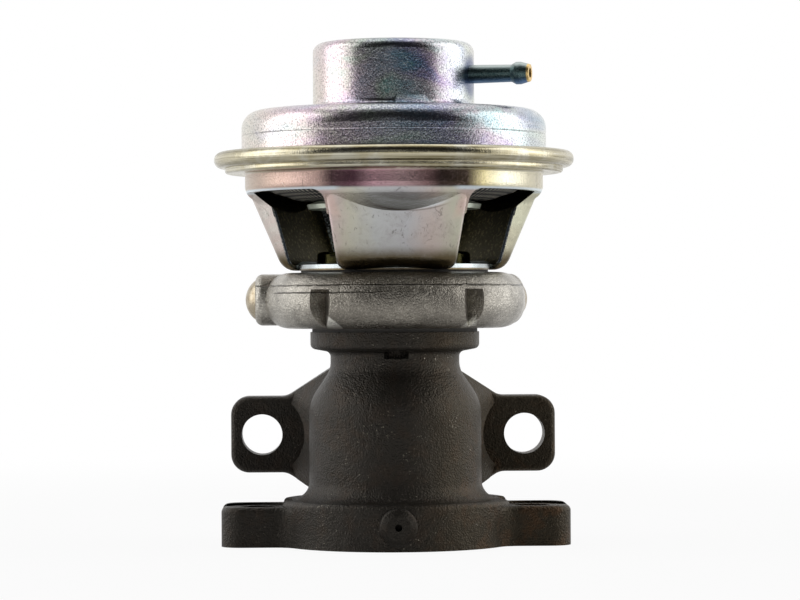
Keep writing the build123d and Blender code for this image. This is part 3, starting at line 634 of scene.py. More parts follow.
@dataclass(frozen=True)
class PearlChromate(Finish):
    """Yellow-passivated pressing: pearly legs, a coloured band with painted reflections, a golden
    streaked rim and painted shade inside.
    """

    name: str = "pearl_chromate"
    # where the zones start; a falling pair fades out, a triple is a band and its soft edge
    leg_front: Span = (-14.0, -17.0)
    foot_edge: Span = (64.6, 61.4)
    foot_fade: Span = (70.0, 62.0)
    bend: Triple = (75.1, 75.8, 0.25)
    bend_sides: Span = (11.0, 13.5)
    band_start: Span = (75.3, 75.9)
    rim_start: Span = (79.0, 79.6)
    below_rim: Span = (80.5, 79.0)
    inward: Span = (-0.12, -0.45)
    plate_top: Span = (60.9, 60.5)
    plate_edge: Span = (21.2, 20.9)
    plate_foot: Span = (58.9, 59.2)
    # shape of the legs, of the crease over the front one and of the folds beside it
    leg_top: float = 75.0
    leg_width: float = 30.0
    leg_half: float = 14.9
    leg_taper: float = 0.157
    leg_turn: float = 120.0
    crease_height: float = 70.9
    crease_middle: float = 2.6
    crease_curve: float = 0.022
    crease_reach: Span = (9.5, 5.0)
    crease_above: Triple = (0.25, 1.9, 0.35)
    crease_line: Triple = (-0.18, 0.08, 0.14)
    fold_top: float = 74.2
    fold_offset: float = 14.2
    fold_slope: float = 0.35
    fold_span: Triple = (69.5, 74.4, 1.2)
    # cut edges of the sheet
    sheet: float = 1.6
    sheet_fade: float = 0.15
    cut_inward: Span = (-0.30, -0.60)
    cut_span: Triple = (60.2, 76.0, 0.2)
    margin: Span = (0.30, 0.50)
    dashed: Span = (0.46, 0.56)
    dash_share: Level = Level(0.2, 0.8)
    # patterns
    cloud: Noise = Noise(0.11, 4.0, 0.6, twist=0.6)
    smudge: Noise = Noise(0.35, 5.0, 0.66, twist=0.8)
    grain: Noise = Noise(3.6, 3.0, 0.7)
    scuff: Noise = Noise(1.0, 3.0, 0.7, twist=1.2, stretch=(0.9, 0.9, 0.35))
    draw: Noise = Noise(1.0, 3.0, 0.6, stretch=(3.0, 3.0, 0.12))
    streak: Noise = Noise(1.0, 4.0, 0.66)
    scratch: Noise = Noise(1.0, 2.0, 0.5)
    speck: Noise = Noise(1.5, 2.0, 0.6)
    dash: Noise = Noise(2.0, 2.0, 0.6)
    streak_space: Triple = (0.9, 0.02, 1.7)
    scratch_space: Span = (1.1, 0.10)
    # tones of the legs, with painted light and shade on the crease and painted highlights on the
    # folds
    pearl: Colour = (0.66, 0.63, 0.58)
    pink: Stain = Stain(0.38, 0.64, 1.0, (0.64, 0.54, 0.50))
    front_pearls: Stops = (
        (0.04, (0.70, 0.55, 0.53)), (0.16, (0.66, 0.64, 0.52)), (0.34, (0.60, 0.62, 0.62)),
        (0.58, (0.57, 0.58, 0.61)), (0.76, (0.66, 0.56, 0.52)), (0.90, (0.64, 0.63, 0.50)),
        (0.98, (0.60, 0.48, 0.46)))
    pearl_drift: float = 8.0
    pearl_share: float = 0.85
    lime: Stain = Stain(20.0, 60.0, 0.6, (0.62, 0.64, 0.42))
    lime_end: Span = (150.0, 100.0)
    olive: Colour = (0.12, 0.092, 0.048)
    foot_lap: float = 1.2
    foot_edge_share: float = 0.80
    foot_fade_share: float = 0.18
    smudges: Stain = Stain(0.46, 0.80, 0.40, (0.27, 0.24, 0.21))
    scuffs: Stain = Stain(0.61, 0.67, 0.5, (0.16, 0.14, 0.13))
    # painted highlight above the crease and painted shade along its lower edge
    crease_light: Colour = (0.84, 0.88, 0.90)
    crease_light_share: float = 0.8
    crease_shade: Colour = (0.20, 0.17, 0.15)
    crease_shade_share: float = 0.6
    # painted highlight along the folds beside the front leg
    fold_highlight: Stain = Stain(1.6, 0.4, 0.35, (0.86, 0.60, 0.50))
    # tones of the band, with painted reflections, and of the rim; a painted highlight on the bend
    band: Stops = (
        (0.00, (0.56, 0.48, 0.38)), (0.20, (0.44, 0.32, 0.26)), (0.33, (0.38, 0.26, 0.23)),
        (0.36, (0.09, 0.05, 0.055)), (0.41, (0.12, 0.055, 0.075)), (0.45, (0.50, 0.30, 0.34)),
        (0.51, (0.46, 0.31, 0.32)), (0.56, (0.22, 0.13, 0.13)), (0.59, (0.035, 0.022, 0.018)),
        (0.65, (0.05, 0.035, 0.022)), (0.69, (0.58, 0.51, 0.28)), (0.75, (0.70, 0.67, 0.52)),
        (0.84, (0.58, 0.54, 0.40)), (1.00, (0.60, 0.55, 0.40)))
    pale_grain: Stain = Stain(0.54, 0.64, 0.16, (0.86, 0.66, 0.66))
    dark_grain: Stain = Stain(0.44, 0.34, 0.5, (0.07, 0.05, 0.045))
    scratches: Stain = Stain(0.66, 0.72, 0.6, (0.05, 0.04, 0.03))
    # painted highlight along the bend under the band
    bend_light: Colour = (0.72, 0.82, 0.88)
    bend_share: Level = Level(0.10, 0.7)
    gold: Colour = (0.60, 0.55, 0.40)
    khaki: Stain = Stain(0.36, 0.62, 1.0, (0.25, 0.215, 0.12))
    rim_cloud: Stain = Stain(0.45, 0.68, 0.5, (0.66, 0.65, 0.58))
    rim_streak: Stain = Stain(0.36, 0.30, 0.7, (0.80, 0.78, 0.70))
    # painted shade inside the cup, and tones on its cut edges and on its floor
    # painted shade: near-black olive for the faces that look inward below the rim, speckled with
    # grain
    inside: Colour = (0.058, 0.050, 0.021)
    specks: Stain = Stain(0.52, 0.66, 0.6, (0.26, 0.22, 0.11))
    edge: Colour = (0.045, 0.058, 0.080)
    edge_light: Colour = (0.90, 0.93, 0.94)
    silver: Colour = (0.58, 0.64, 0.66)
    silver_share: Level = Level(0.5, 0.6)
    # reliefs in millimetres, and gloss
    draw_depth: float = 0.035
    grain_depth: float = 0.045
    grain_strength: Level = Level(0.4, 0.6)
    smudge_depth: float = 0.06
    gloss: Level = Level(0.18, 0.14)
    inside_gloss: float = 0.25
    rim_gloss: float = 0.03

    def paint(self, graph: Surface) -> None:
        """Lays the zones over one another from the legs up, then the painted shade on the inside,
        the cut edges and the floor.

        Args:
            graph: the graph to build in.
        """
        shared = CupPatterns(
            cloud=graph.noise(self.cloud), smudge=graph.noise(self.smudge),
            grain=graph.noise(self.grain), front=graph.y.rise(*self.leg_front),
            on_band=graph.z.rise(*self.band_start), on_rim=graph.z.rise(*self.rim_start))
        colour = self.crease_and_fold_light(graph, shared, self.pearly_legs(graph, shared))
        colour = graph.mix(shared.on_band, colour, self.coloured_band(graph, shared))
        colour = self.bend_line(graph, colour)
        colour = graph.mix(shared.on_rim, colour, self.golden_rim(graph, shared))
        # painted shade on the faces that look inward below the rim, which are also rougher
        shaded_inside = graph.outward.rise(*self.inward) * graph.z.rise(*self.below_rim)
        speckled = graph.stain(self.inside, graph.noise(self.speck), self.specks)
        colour = graph.mix(shaded_inside, colour, speckled)
        colour = self.cut_edges(graph, colour)
        colour = self.floor_plate(graph, shared, colour)
        gloss = self.gloss.over(shared.smudge) + shaded_inside * self.inside_gloss
        graph.shade(Base_Color=colour, Metallic=1.0, Normal=self.relief(graph, shared),
                    Roughness=gloss - shared.on_rim * self.rim_gloss)

    def pearly_legs(self, graph: Surface, shared: CupPatterns) -> Wire:
        """Pearl tones across the legs, darker at the foot, with smudges and scuffs.

        Args:
            graph: the graph to build in.
            shared: the patterns that the zones share.

        Returns:
            The colour of the legs.
        """
        colour = graph.stain(self.pearl, shared.cloud, self.pink)
        across = graph.x + (shared.cloud - 0.5) * self.pearl_drift + self.leg_width / 2
        pearls = graph.ramp(across / self.leg_width, self.front_pearls)
        colour = graph.mix(shared.front * self.pearl_share, colour, pearls)
        colour = graph.stain(colour, graph.angle, self.lime, graph.angle.rise(*self.lime_end))
        lapped = graph.z + shared.smudge * self.foot_lap
        dark = lapped.rise(*self.foot_edge) * self.foot_edge_share
        dark = dark + graph.z.rise(*self.foot_fade) * self.foot_fade_share
        colour = graph.mix(dark, colour, self.olive)
        colour = graph.stain(colour, shared.smudge, self.smudges)
        return graph.stain(colour, graph.noise(self.scuff), self.scuffs)

    def crease_and_fold_light(self, graph: Surface, shared: CupPatterns, colour: Wire) -> Wire:
        """Painted highlight and painted shade line on the smiling crease at the top of the front
        leg, and painted highlights along the folds on each side of it.

        Args:
            graph: the graph to build in.
            shared: the patterns that the zones share.
            colour: the colour below.

        Returns:
            The colour with the crease and the folds.
        """
        aside = graph.x - self.crease_middle
        smile = graph.z - (self.crease_height + aside ** 2.0 * self.crease_curve)
        wide = abs(aside).rise(*self.crease_reach) * shared.front
        # painted highlight above the crease and painted shade on its line
        light = smile.between(*self.crease_above) * wide * self.crease_light_share
        shade = smile.between(*self.crease_line) * wide * self.crease_shade_share
        colour = graph.mix(light, colour, self.crease_light)
        colour = graph.mix(shade, colour, self.crease_shade)
        line = self.fold_offset - (self.fold_top - graph.z) * self.fold_slope
        within = graph.z.between(*self.fold_span) * shared.front
        # painted highlights along the folds
        return graph.stain(colour, abs(abs(graph.x) - line), self.fold_highlight, within)

    def coloured_band(self, graph: Surface, shared: CupPatterns) -> Wire:
        """Tints by angle with painted reflections, dark patches and a pink highlight in front and
        pale sides, with grain and upright scratches.

        Args:
            graph: the graph to build in.
            shared: the patterns that the zones share.

        Returns:
            The colour of the band.
        """
        # tints with painted reflections by angle: dark patches, a pink highlight, pale sides
        colour = graph.half_turn(graph.angle, self.band)
        colour = graph.stain(colour, shared.grain, self.pale_grain)
        colour = graph.stain(colour, shared.grain, self.dark_grain)
        turn, rise = self.scratch_space
        upright = graph.joined(graph.angle * turn, 0.0, graph.z * rise)
        return graph.stain(colour, graph.noise(self.scratch, upright), self.scratches)

    def bend_line(self, graph: Surface, colour: Wire) -> Wire:
        """Painted highlight along the bend under the band, strongest beside the front leg."""
        share = self.bend_share.over(abs(graph.x).rise(*self.bend_sides))
        return graph.mix(graph.z.between(*self.bend) * share, colour, self.bend_light)

    def golden_rim(self, graph: Surface, shared: CupPatterns) -> Wire:
        """Gold with khaki and pale streaks that run round the rim.

        Args:
            graph: the graph to build in.
            shared: the patterns that the zones share.

        Returns:
            The colour of the rim.
        """
        reach, turn, rise = self.streak_space
        strip = graph.joined(graph.radius * reach, graph.angle * turn, graph.z * rise)
        streaks = graph.noise(self.streak, strip)
        colour = graph.stain(self.gold, streaks, self.khaki)
        colour = graph.stain(colour, shared.cloud, self.rim_cloud)
        return graph.stain(colour, streaks, self.rim_streak)

    def cut_edges(self, graph: Surface, colour: Wire) -> Wire:
        """Dark cut edges of the sheet along the legs, with bright dashes at their margins.

        Args:
            graph: the graph to build in.
            colour: the colour below.

        Returns:
            The colour with the cut edges.
        """
        # three and a half steps keep the remainder positive and 0 at the middle of a leg
        step = self.leg_turn
        folded = (graph.angle + 3.5 * step) % step - step / 2
        aside = graph.radius * (folded * (pi / 180)).sine()
        half = self.leg_half - (self.leg_top - graph.z) * self.leg_taper
        inset = half - abs(aside)
        cut = inset.rise(self.sheet + self.sheet_fade, self.sheet)
        cut = cut * graph.outward.rise(*self.cut_inward) * graph.z.between(*self.cut_span)
        colour = graph.mix(cut, colour, self.edge)
        dashes = self.dash_share.over(graph.noise(self.dash).rise(*self.dashed))
        margin = abs(inset - self.sheet / 2).rise(*self.margin)
        return graph.mix(cut * margin * dashes, colour, self.edge_light)

    def floor_plate(self, graph: Surface, shared: CupPatterns, colour: Wire) -> Wire:
        """Silvery floor of the cup.

        Args:
            graph: the graph to build in.
            shared: the patterns that the zones share.
            colour: the colour below.

        Returns:
            The colour with the floor.
        """
        plate = graph.z.rise(*self.plate_top) * graph.radius.rise(*self.plate_edge)
        plate = plate * graph.z.rise(*self.plate_foot)
        return graph.mix(plate * self.silver_share.over(shared.smudge), colour, self.silver)

    def relief(self, graph: Surface, shared: CupPatterns) -> Wire:
        """Draw marks, grain that is stronger on the band, and smudges.

        Args:
            graph: the graph to build in.
            shared: the patterns that the zones share.

        Returns:
            The normal with the reliefs laid on one another.
        """
        strength = self.grain_strength.over(shared.on_band) * (1.0 - shared.on_rim)
        normal = graph.bump(graph.noise(self.draw), self.draw_depth)
        normal = graph.bump(shared.grain * strength, self.grain_depth, normal)
        return graph.bump(shared.smudge, self.smudge_depth, normal)


@dataclass(frozen=True)
class RainbowZinc(Finish):
    """Grainy iridescent plating with painted reflections: dark blue-green in front and pale at
    the sides.
    """

    name: str = "rainbow_zinc"
    drift: Noise = Noise(0.06, 3.0, 0.55, twist=0.5, stretch=(1.0, 1.0, 2.2))
    grain: Noise = Noise(2.2, 3.0, 0.66)
    fleck: Noise = Noise(3.0, 1.0, 0.5)
    hues: tuple[Colour, ...] = ((0.16, 0.38, 0.38), (0.26, 0.32, 0.56), (0.56, 0.36, 0.52),
                                (0.72, 0.60, 0.50), (0.40, 0.58, 0.46), (0.26, 0.50, 0.58))
    hue_span: Span = (0.22, 0.78)
    hue_grain: float = 0.25
    hue_share: Level = Level(0.36, -0.16)
    hue_sides: Span = (0.25, 0.80)
    # iridescent tints with painted reflections: pale at the sides, dark blue-green in front
    zones: Stops = (
        (0.00, (0.80, 0.76, 0.66)), (0.16, (0.76, 0.69, 0.63)), (0.27, (0.68, 0.56, 0.60)),
        (0.37, (0.46, 0.46, 0.46)), (0.45, (0.20, 0.33, 0.31)), (0.53, (0.07, 0.22, 0.25)),
        (0.62, (0.12, 0.19, 0.34)), (0.70, (0.34, 0.31, 0.42)), (0.80, (0.52, 0.62, 0.68)),
        (0.90, (0.74, 0.82, 0.78)), (1.00, (0.82, 0.83, 0.76)))
    zone_drift: float = 70.0
    zone_slant: float = 0.6
    zone_height: float = 90.0
    crown: Stain = Stain(13.0, 3.0, 1.0, (0.58, 0.58, 0.60))
    pale_fleck: Stain = Stain(0.58, 0.66, 0.30, (0.90, 0.91, 0.90))
    dark_fleck: Stain = Stain(0.46, 0.36, 0.5, (0.03, 0.04, 0.05))
    root: Triple = (16.2, -5.3, 99.8)
    root_blue_patch: Stain = Stain(6.0, 3.0, 0.8, (0.05, 0.08, 0.20))
    step: float = 87.6
    step_edge: float = 0.25
    step_radius: Span = (30.0, 31.0)
    step_depth: float = 0.30
    grain_depth: float = 0.042
    fleck_depth: float = 0.018
    gloss: Level = Level(0.17, 0.12)

    def paint(self, graph: Surface) -> None:
        """Lays flecks and a dark blue patch round the nipple's root over the rainbow, and a step
        line round the dome.

        Args:
            graph: the graph to build in.
        """
        grain, fleck = graph.noise(self.grain), graph.noise(self.fleck)
        colour = self.rainbow(graph, grain)
        colour = graph.stain(colour, graph.radius, self.crown)
        colour = graph.stain(colour, fleck, self.pale_fleck)
        colour = graph.stain(colour, fleck, self.dark_fleck)
        squares = [(place - middle) ** 2.0
                   for place, middle in zip((graph.x, graph.y, graph.z), self.root)]
        from_root = (squares[0] + squares[1] + squares[2]) ** 0.5
        colour = graph.stain(colour, from_root, self.root_blue_patch)
        below = graph.z.rise(self.step + self.step_edge, self.step - self.step_edge)
        relief = graph.bump(below * graph.radius.rise(*self.step_radius), self.step_depth)
        relief = graph.bump(grain, self.grain_depth, relief)
        relief = graph.bump(fleck, self.fleck_depth, relief)
        graph.shade(Base_Color=colour, Metallic=1.0, Roughness=self.gloss.over(grain),
                    Normal=relief)

    def rainbow(self, graph: Surface, grain: Wire) -> Wire:
        """Zones by angle, iridescent tints with painted reflections that are dark in front and
        pale at the sides, with clouds of hue over them, most in front.

        Args:
            graph: the graph to build in.
            grain: the fine grain that breaks up the clouds.

        Returns:
            The colour.
        """
        drift = graph.noise(self.drift)
        start, end = self.hue_span
        last = len(self.hues) - 1
        stops = [(start + (end - start) * i / last, hue) for i, hue in enumerate(self.hues)]
        clouds = graph.ramp(drift + (grain - 0.5) * self.hue_grain, stops)
        turned = graph.angle + (drift - 0.5) * self.zone_drift
        turned = turned + (graph.z - self.zone_height) * self.zone_slant
        # painted reflections by angle, dark in front and pale at the sides
        zone = graph.half_turn(turned, self.zones)
        side = (abs(graph.angle) / 90.0).rise(*self.hue_sides)
        return graph.mix(self.hue_share.over(side), zone, clouds)


@dataclass(frozen=True)
class NippleZinc(Finish):
    """Dark blue-green plating on the hose nipple, golden at its open end."""

    name: str = "nipple_zinc"
    heading: float = -18.0
    dark: Colour = (0.04, 0.08, 0.08)
    teal: Stain = Stain(0.35, 0.65, 1.0, (0.14, 0.20, 0.20))
    # painted highlight on faces that look up, painted blue reflection on faces that look down
    top: Stain = Stain(0.35, 0.90, 0.7, (0.55, 0.60, 0.58))
    underside: Stain = Stain(-0.30, -0.90, 0.7, (0.10, 0.18, 0.38))
    tip: Stain = Stain(29.70, 30.05, 1.0, (0.80, 0.56, 0.22))
    grain: Noise = Noise(3.0, 4.0, 0.7)
    grain_depth: float = 0.06
    gloss: Level = Level(0.26, 0.2)

    def paint(self, graph: Surface) -> None:
        """Teal body, painted highlight on the upper side, painted blue reflection on the
        underside and a golden tip.

        Args:
            graph: the graph to build in.
        """
        grain = graph.noise(self.grain)
        turn = radians(self.heading)
        along = graph.x * cos(turn) + graph.y * sin(turn)
        _, _, up = graph.split(graph.facing)
        colour = graph.stain(self.dark, grain, self.teal)
        # painted highlight above and painted blue reflection below
        colour = graph.stain(colour, up, self.top)
        colour = graph.stain(colour, up, self.underside)
        colour = graph.stain(colour, along, self.tip)
        graph.shade(Base_Color=colour, Metallic=1.0, Roughness=self.gloss.over(grain),
                    Normal=graph.bump(grain, self.grain_depth))


@dataclass(frozen=True)
class PlainMetal(Finish):
    """Turned or pressed metal with fine tool marks and slight staining."""

    tone: Colour = (0.60, 0.60, 0.60)
    stained: Colour = (0.30, 0.28, 0.25)
    polish: float = 0.28
    metal: float = 1.0
    dulling: float = 0.16
    cloud: Noise = Noise(0.5, 4.0, 0.6)
    cloudy: Span = (0.45, 0.72)
    ring: Noise = Noise(1.0, 2.0, 0.5)
    ring_pitch: float = 9.0
    ring_depth: float = 0.02

    def paint(self, graph: Surface) -> None:
        """Turning marks round the axis and cloudy stains.

        Args:
            graph: the graph to build in.
        """
        cloud = graph.noise(self.cloud)
        round_it = graph.joined(graph.radius * self.ring_pitch, 0.0, graph.z * self.ring_pitch)
        colour = graph.mix(cloud.rise(*self.cloudy), self.tone, self.stained)
        dull = Level(self.polish, self.dulling).over(cloud)
        graph.shade(Base_Color=colour, Metallic=self.metal, Roughness=dull,
                    Normal=graph.bump(graph.noise(self.ring, round_it), self.ring_depth))


@dataclass(frozen=True)
class WovenRubber(Finish):
    """Rubber sheet with its fabric ply showing as a diagonal weave."""

    name: str = "woven_rubber"
    rubber: Colour = (0.010, 0.010, 0.010)
    yarn: Stain = Stain(0.5, 1.5, 0.9, (0.62, 0.58, 0.48))
    fuzz_tone: Stain = Stain(0.5, 0.7, 0.5, (0.03, 0.03, 0.028))
    fuzz: Noise = Noise(3.0, 3.0, 0.6)
    thread: float = 1.35
    slant: float = 0.30
    radius: float = 28.0
    fuzz_height: float = 0.4
    depth: float = 0.14
    gloss: Level = Level(0.62, 0.2)

    def paint(self, graph: Surface) -> None:
        """Over-and-under weave laid on the diagonal.

        Args:
            graph: the graph to build in.
        """
        round_it = graph.angle * (pi / 180 * self.radius)
        along = (graph.radius + graph.z) * self.slant
        warp = ((round_it + along) * self.thread * pi).sine()
        weft = ((round_it - along) * self.thread * pi).sine()
        over = (warp + weft).rise(self.yarn.low, self.yarn.high)
        fuzz = graph.noise(self.fuzz)
        colour = graph.stain(self.rubber, warp + weft, self.yarn)
        colour = graph.stain(colour, fuzz, self.fuzz_tone)
        graph.shade(Base_Color=colour, Roughness=self.gloss.over(fuzz),
                    Normal=graph.bump(over + fuzz * self.fuzz_height, self.depth))


@dataclass(frozen=True)
class SoftBlack(Finish):
    """Plain rubber or gasket board with a dull mottled face."""

    tone: Colour = (0.025, 0.024, 0.023)
    mottled: Stain = Stain(0.4, 0.7, 0.5, (0.09, 0.085, 0.08))
    mottle: Noise = Noise(1.2, 4.0, 0.65)
    depth: float = 0.05
    gloss: Level = Level(0.66, 0.2)

    def paint(self, graph: Surface) -> None:
        """Mottle and fine relief.

        Args:
            graph: the graph to build in.
        """
        mottle = graph.noise(self.mottle)
        colour = graph.stain(self.tone, mottle, self.mottled)
        graph.shade(Base_Color=colour, Roughness=self.gloss.over(mottle),
                    Normal=graph.bump(mottle, self.depth))


BRIGHT = PlainMetal("bright_pressing", (0.93, 0.95, 0.88), (0.70, 0.70, 0.58), 0.14)
PALE = PlainMetal("pale_zinc", (0.88, 0.95, 0.80), (0.72, 0.78, 0.60), 0.14, 0.35)
MACHINED = PlainMetal("machined_steel", (0.48, 0.46, 0.44), (0.20, 0.16, 0.12), 0.34)
BRONZE = PlainMetal("sintered_bronze", (0.50, 0.34, 0.18), (0.26, 0.16, 0.08), 0.42)
PLUG = PlainMetal("plug_pressing", (0.46, 0.40, 0.30), (0.22, 0.15, 0.07), 0.20)
SCREW = PlainMetal("dark_screw_zinc", (0.13, 0.12, 0.045), (0.03, 0.027, 0.018), 0.12)
SPRING = PlainMetal("spring_wire", (0.40, 0.39, 0.36), (0.16, 0.14, 0.12), 0.34)
SEAL = SoftBlack("seal_rubber")
BOARD = SoftBlack("gasket_board", (0.05, 0.047, 0.043))


def dress(finish: Finish, *nodes: str) -> None:
    """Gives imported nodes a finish.

    Args:
        finish: the finish.
        nodes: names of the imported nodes.
    """
    material = finish.material()
    for name in nodes:
        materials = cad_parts[name].data.materials
        materials.clear()
        materials.append(material)
        LOG.info("dressed %s in %s", name, finish.name)


# ---------------------------------------------------------------- modelling by operators
class Bench:
    """Operators on one new piece."""

    @staticmethod
    def clear() -> None:
        """Deselects everything."""
        for thing in bpy.context.selected_objects:
            thing.select_set(False)

    @staticmethod
    def take(piece: bpy.types.Object) -> None:
        """Makes a piece the only one selected.

        Args:
            piece: the piece.
        """
        Bench.clear()
        bpy.context.view_layer.objects.active = piece
        piece.select_set(True)

    @staticmethod
    def circle(name: str, sides: int, radius: float, place: Triple, fill: Fill = Fill.OPEN,
               turn: Triple = (0.0, 0.0, 0.0)) -> bpy.types.Object:
        """Starts a piece as a circle.

        Args:
            name: the piece's name.
            sides: number of edges.
            radius: radius in metres.
            place: its middle in metres.
            fill: whether it is open or a disc.
            turn: its rotation in radians.

        Returns:
            The piece, in object mode.
        """
        Bench.clear()
        bpy.ops.mesh.primitive_circle_add(vertices=sides, radius=radius, fill_type=fill.value,
                                          location=place, rotation=turn)
        piece = bpy.context.active_object
        piece.name = name
        return piece

    @staticmethod
    def edit(pick: Pick = Pick.ALL) -> None:
        """Enters edit mode and selects everything or nothing."""
        bpy.ops.object.mode_set(mode="EDIT")
        bpy.ops.mesh.select_all(action=pick.value)

    @staticmethod
    def step(share: float, rise: float) -> None:
        """Extrudes the selected edges, scales them about the stem axis and lifts them.

        Args:
            share: scale of the new edge loop.
            rise: how far it is lifted, in metres.
        """
        bpy.ops.mesh.extrude_edges_move(TRANSFORM_OT_translate={"value": (0, 0, rise)})
        bpy.ops.transform.resize(value=(share, share, 1.0))

    @staticmethod
    def done(piece: bpy.types.Object, smooth: float = 50.0, merge: float = 0.01 * MM) -> None:
        """Ends the edit: merges doubles, turns faces outward, bakes the place, shades smooth.

        Args:
            piece: the piece in edit mode.
            smooth: largest angle between faces that is shaded smooth, in degrees.
            merge: distance at which points are merged, in metres.
        """
        bpy.ops.mesh.select_all(action="SELECT")
        bpy.ops.mesh.remove_doubles(threshold=merge)
        bpy.ops.mesh.normals_make_consistent(inside=False)
        bpy.ops.object.mode_set(mode="OBJECT")
        Bench.take(piece)
        bpy.ops.object.transform_apply(location=True, rotation=True, scale=True)
        bpy.ops.object.shade_smooth_by_angle(angle=radians(smooth))

    @staticmethod
    def modify(piece: bpy.types.Object, kind: str, **settings: float | str | bool) -> None:
        """Adds a modifier and applies it.

        Args:
            piece: the piece.
            kind: the modifier's type.
            settings: its properties.
        """
        Bench.take(piece)
        modifier = piece.modifiers.new(kind.lower(), kind)
        for key, value in settings.items():
            setattr(modifier, key, value)
        bpy.ops.object.modifier_apply(modifier=modifier.name)


# ---------------------------------------------------------------- sub-assemblies
@dataclass
class Diaphragm:
    """Rubber diaphragm with a rolled convolution."""

    slot: str = "rubber"
    sides: int = 160
    thickness: float = 0.7 * MM
    # radius and height of each station of the middle line, from the clamped edge inward
    stations: tuple[Span, ...] = (
        (34.9, 81.12), (32.0, 81.12), (30.6, 81.05), (29.9, 80.6), (29.5, 79.8), (28.3, 77.9),
        (27.0, 76.4), (25.5, 75.6), (23.6, 75.1), (22.2, 74.6), (21.2, 74.2), (20.0, 74.1),
        (16.0, 74.1), (10.0, 74.1), (3.4, 74.1))
    clamped: int = 2
    plated: int = 10

    def build(self) -> bpy.types.Object:
        """Models the sheet loop by loop and gives it its thickness.

        Returns:
            The finished sheet.
        """
        radius, height = self.stations[0]
        piece = Bench.circle("diaphragm_cloth", self.sides, radius * MM, (0, 0, height * MM))
        Bench.edit()
        for (before, low), (after, high) in zip(self.stations, self.stations[1:]):
            Bench.step(after / before, (high - low) * MM)
        Bench.done(piece)
        Bench.modify(piece, "SOLIDIFY", thickness=self.thickness, offset=0.0)
        piece.data.materials.append(WovenRubber().material())
        return piece

    def fit(self) -> None:
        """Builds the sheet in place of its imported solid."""
        piece = self.build()
        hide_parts("diaphragm")
        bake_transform(piece)
        LOG.info("built %s with %d faces", piece.name, len(piece.data.polygons))


@dataclass
class ReturnSpring:
    """Coil spring between the upper plate and its seat in the cap."""

    slot: str = "machined_steel"
    mean_radius: float = 12.0 * MM
    wire_radius: float = 1.1 * MM
    wire_sides: int = 16
    coils: int = 5
    coil_steps: int = 40
    lift: float = 5.5 * MM

    def build(self, foot: float, length: float) -> bpy.types.Object:
        """Winds the wire.

        Args:
            foot: height of the spring's lower end, in metres.
            length: its length, in metres.

        Returns:
            The wound spring with closed ends.
        """
        piece = Bench.circle("return_spring_wire", self.wire_sides, self.wire_radius,
                             (self.mean_radius, 0, foot + self.wire_radius), Fill.DISC,
                             (pi / 2, 0, 0))
        bpy.ops.object.transform_apply(location=True, rotation=True, scale=True)
        bpy.ops.object.mode_set(mode="EDIT")
        bpy.ops.mesh.delete(type="ONLY_FACE")
        bpy.ops.object.mode_set(mode="OBJECT")
        pitch = (length - 2 * self.wire_radius) / self.coils
        Bench.modify(piece, "SCREW", angle=2 * pi, iterations=self.coils, screw_offset=pitch,
                     steps=self.coil_steps, render_steps=self.coil_steps)
        Bench.edit(Pick.NOTHING)
        bpy.ops.mesh.select_non_manifold()
        bpy.ops.mesh.fill()
        Bench.done(piece)
        piece.data.materials.append(SPRING.material())
        return piece

    def fit(self) -> None:
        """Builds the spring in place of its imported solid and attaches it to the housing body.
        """
        low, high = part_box("return_spring")
        length = high.z - low.z
        piece = self.build(low.z, length)
        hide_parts("return_spring")
        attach(piece, Body.HOUSING.value)
        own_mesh(piece)
        LOG.info("built %s with %d faces", piece.name, len(piece.data.polygons))


class Castings:
    """Iron body and aluminium ring."""

    def fit(self) -> None:
        """Dresses the castings and what is pressed into them."""
        dress(SandCastIron(), "valve_body")
        dress(SandCastAluminium(), "spacer_ring")
        dress(PLUG, "core_plug_left", "core_plug_right")
        dress(BOARD, "body_gasket", "housing_gasket")
        dress(SEAL, "stem_seal")
        dress(MACHINED, "valve_seat", "poppet", "poppet_nut", "valve_stem", "soot_deflector",
              "seal_retainer")
        dress(BRONZE, "stem_guide_bush")


class Actuator:
    """Pressed housings of the diaphragm chamber and what sits inside."""

    def fit(self) -> None:
        """Dresses the pressings and builds the soft and sprung pieces."""
        dress(PearlChromate(), "lower_housing")
        dress(RainbowZinc(), "upper_housing")
        dress(NippleZinc(), "vacuum_nipple")
        dress(SCREW, "housing_screws", "screw_washers")
        dress(PALE, "lower_plate")
        dress(BRIGHT, "upper_plate", "stem_washer", "stem_nut", "spring_seat")
        Diaphragm().fit()
        ReturnSpring().fit()


# ---------------------------------------------------------------- studio
@dataclass(frozen=True)
class SoftBox:
    """Area lamp: its name, place and size in metres, and its power in watts."""

    name: str
    place: Triple
    size: Span
    power: float
    aim: Triple = (0.0, 0.0, 0.055)

    def hang(self) -> None:
        """Hangs the lamp so that it faces the part."""
        light = bpy.data.lights.new(self.name, "AREA")
        light.shape = "RECTANGLE"
        light.size, light.size_y = self.size
        light.energy = self.power
        holder = bpy.data.objects.new(self.name, light)
        bpy.context.scene.collection.objects.link(holder)
        holder.location = self.place
        sight = Vector(self.aim) - Vector(self.place)
        holder.rotation_euler = sight.to_track_quat("-Z", "Y").to_euler()


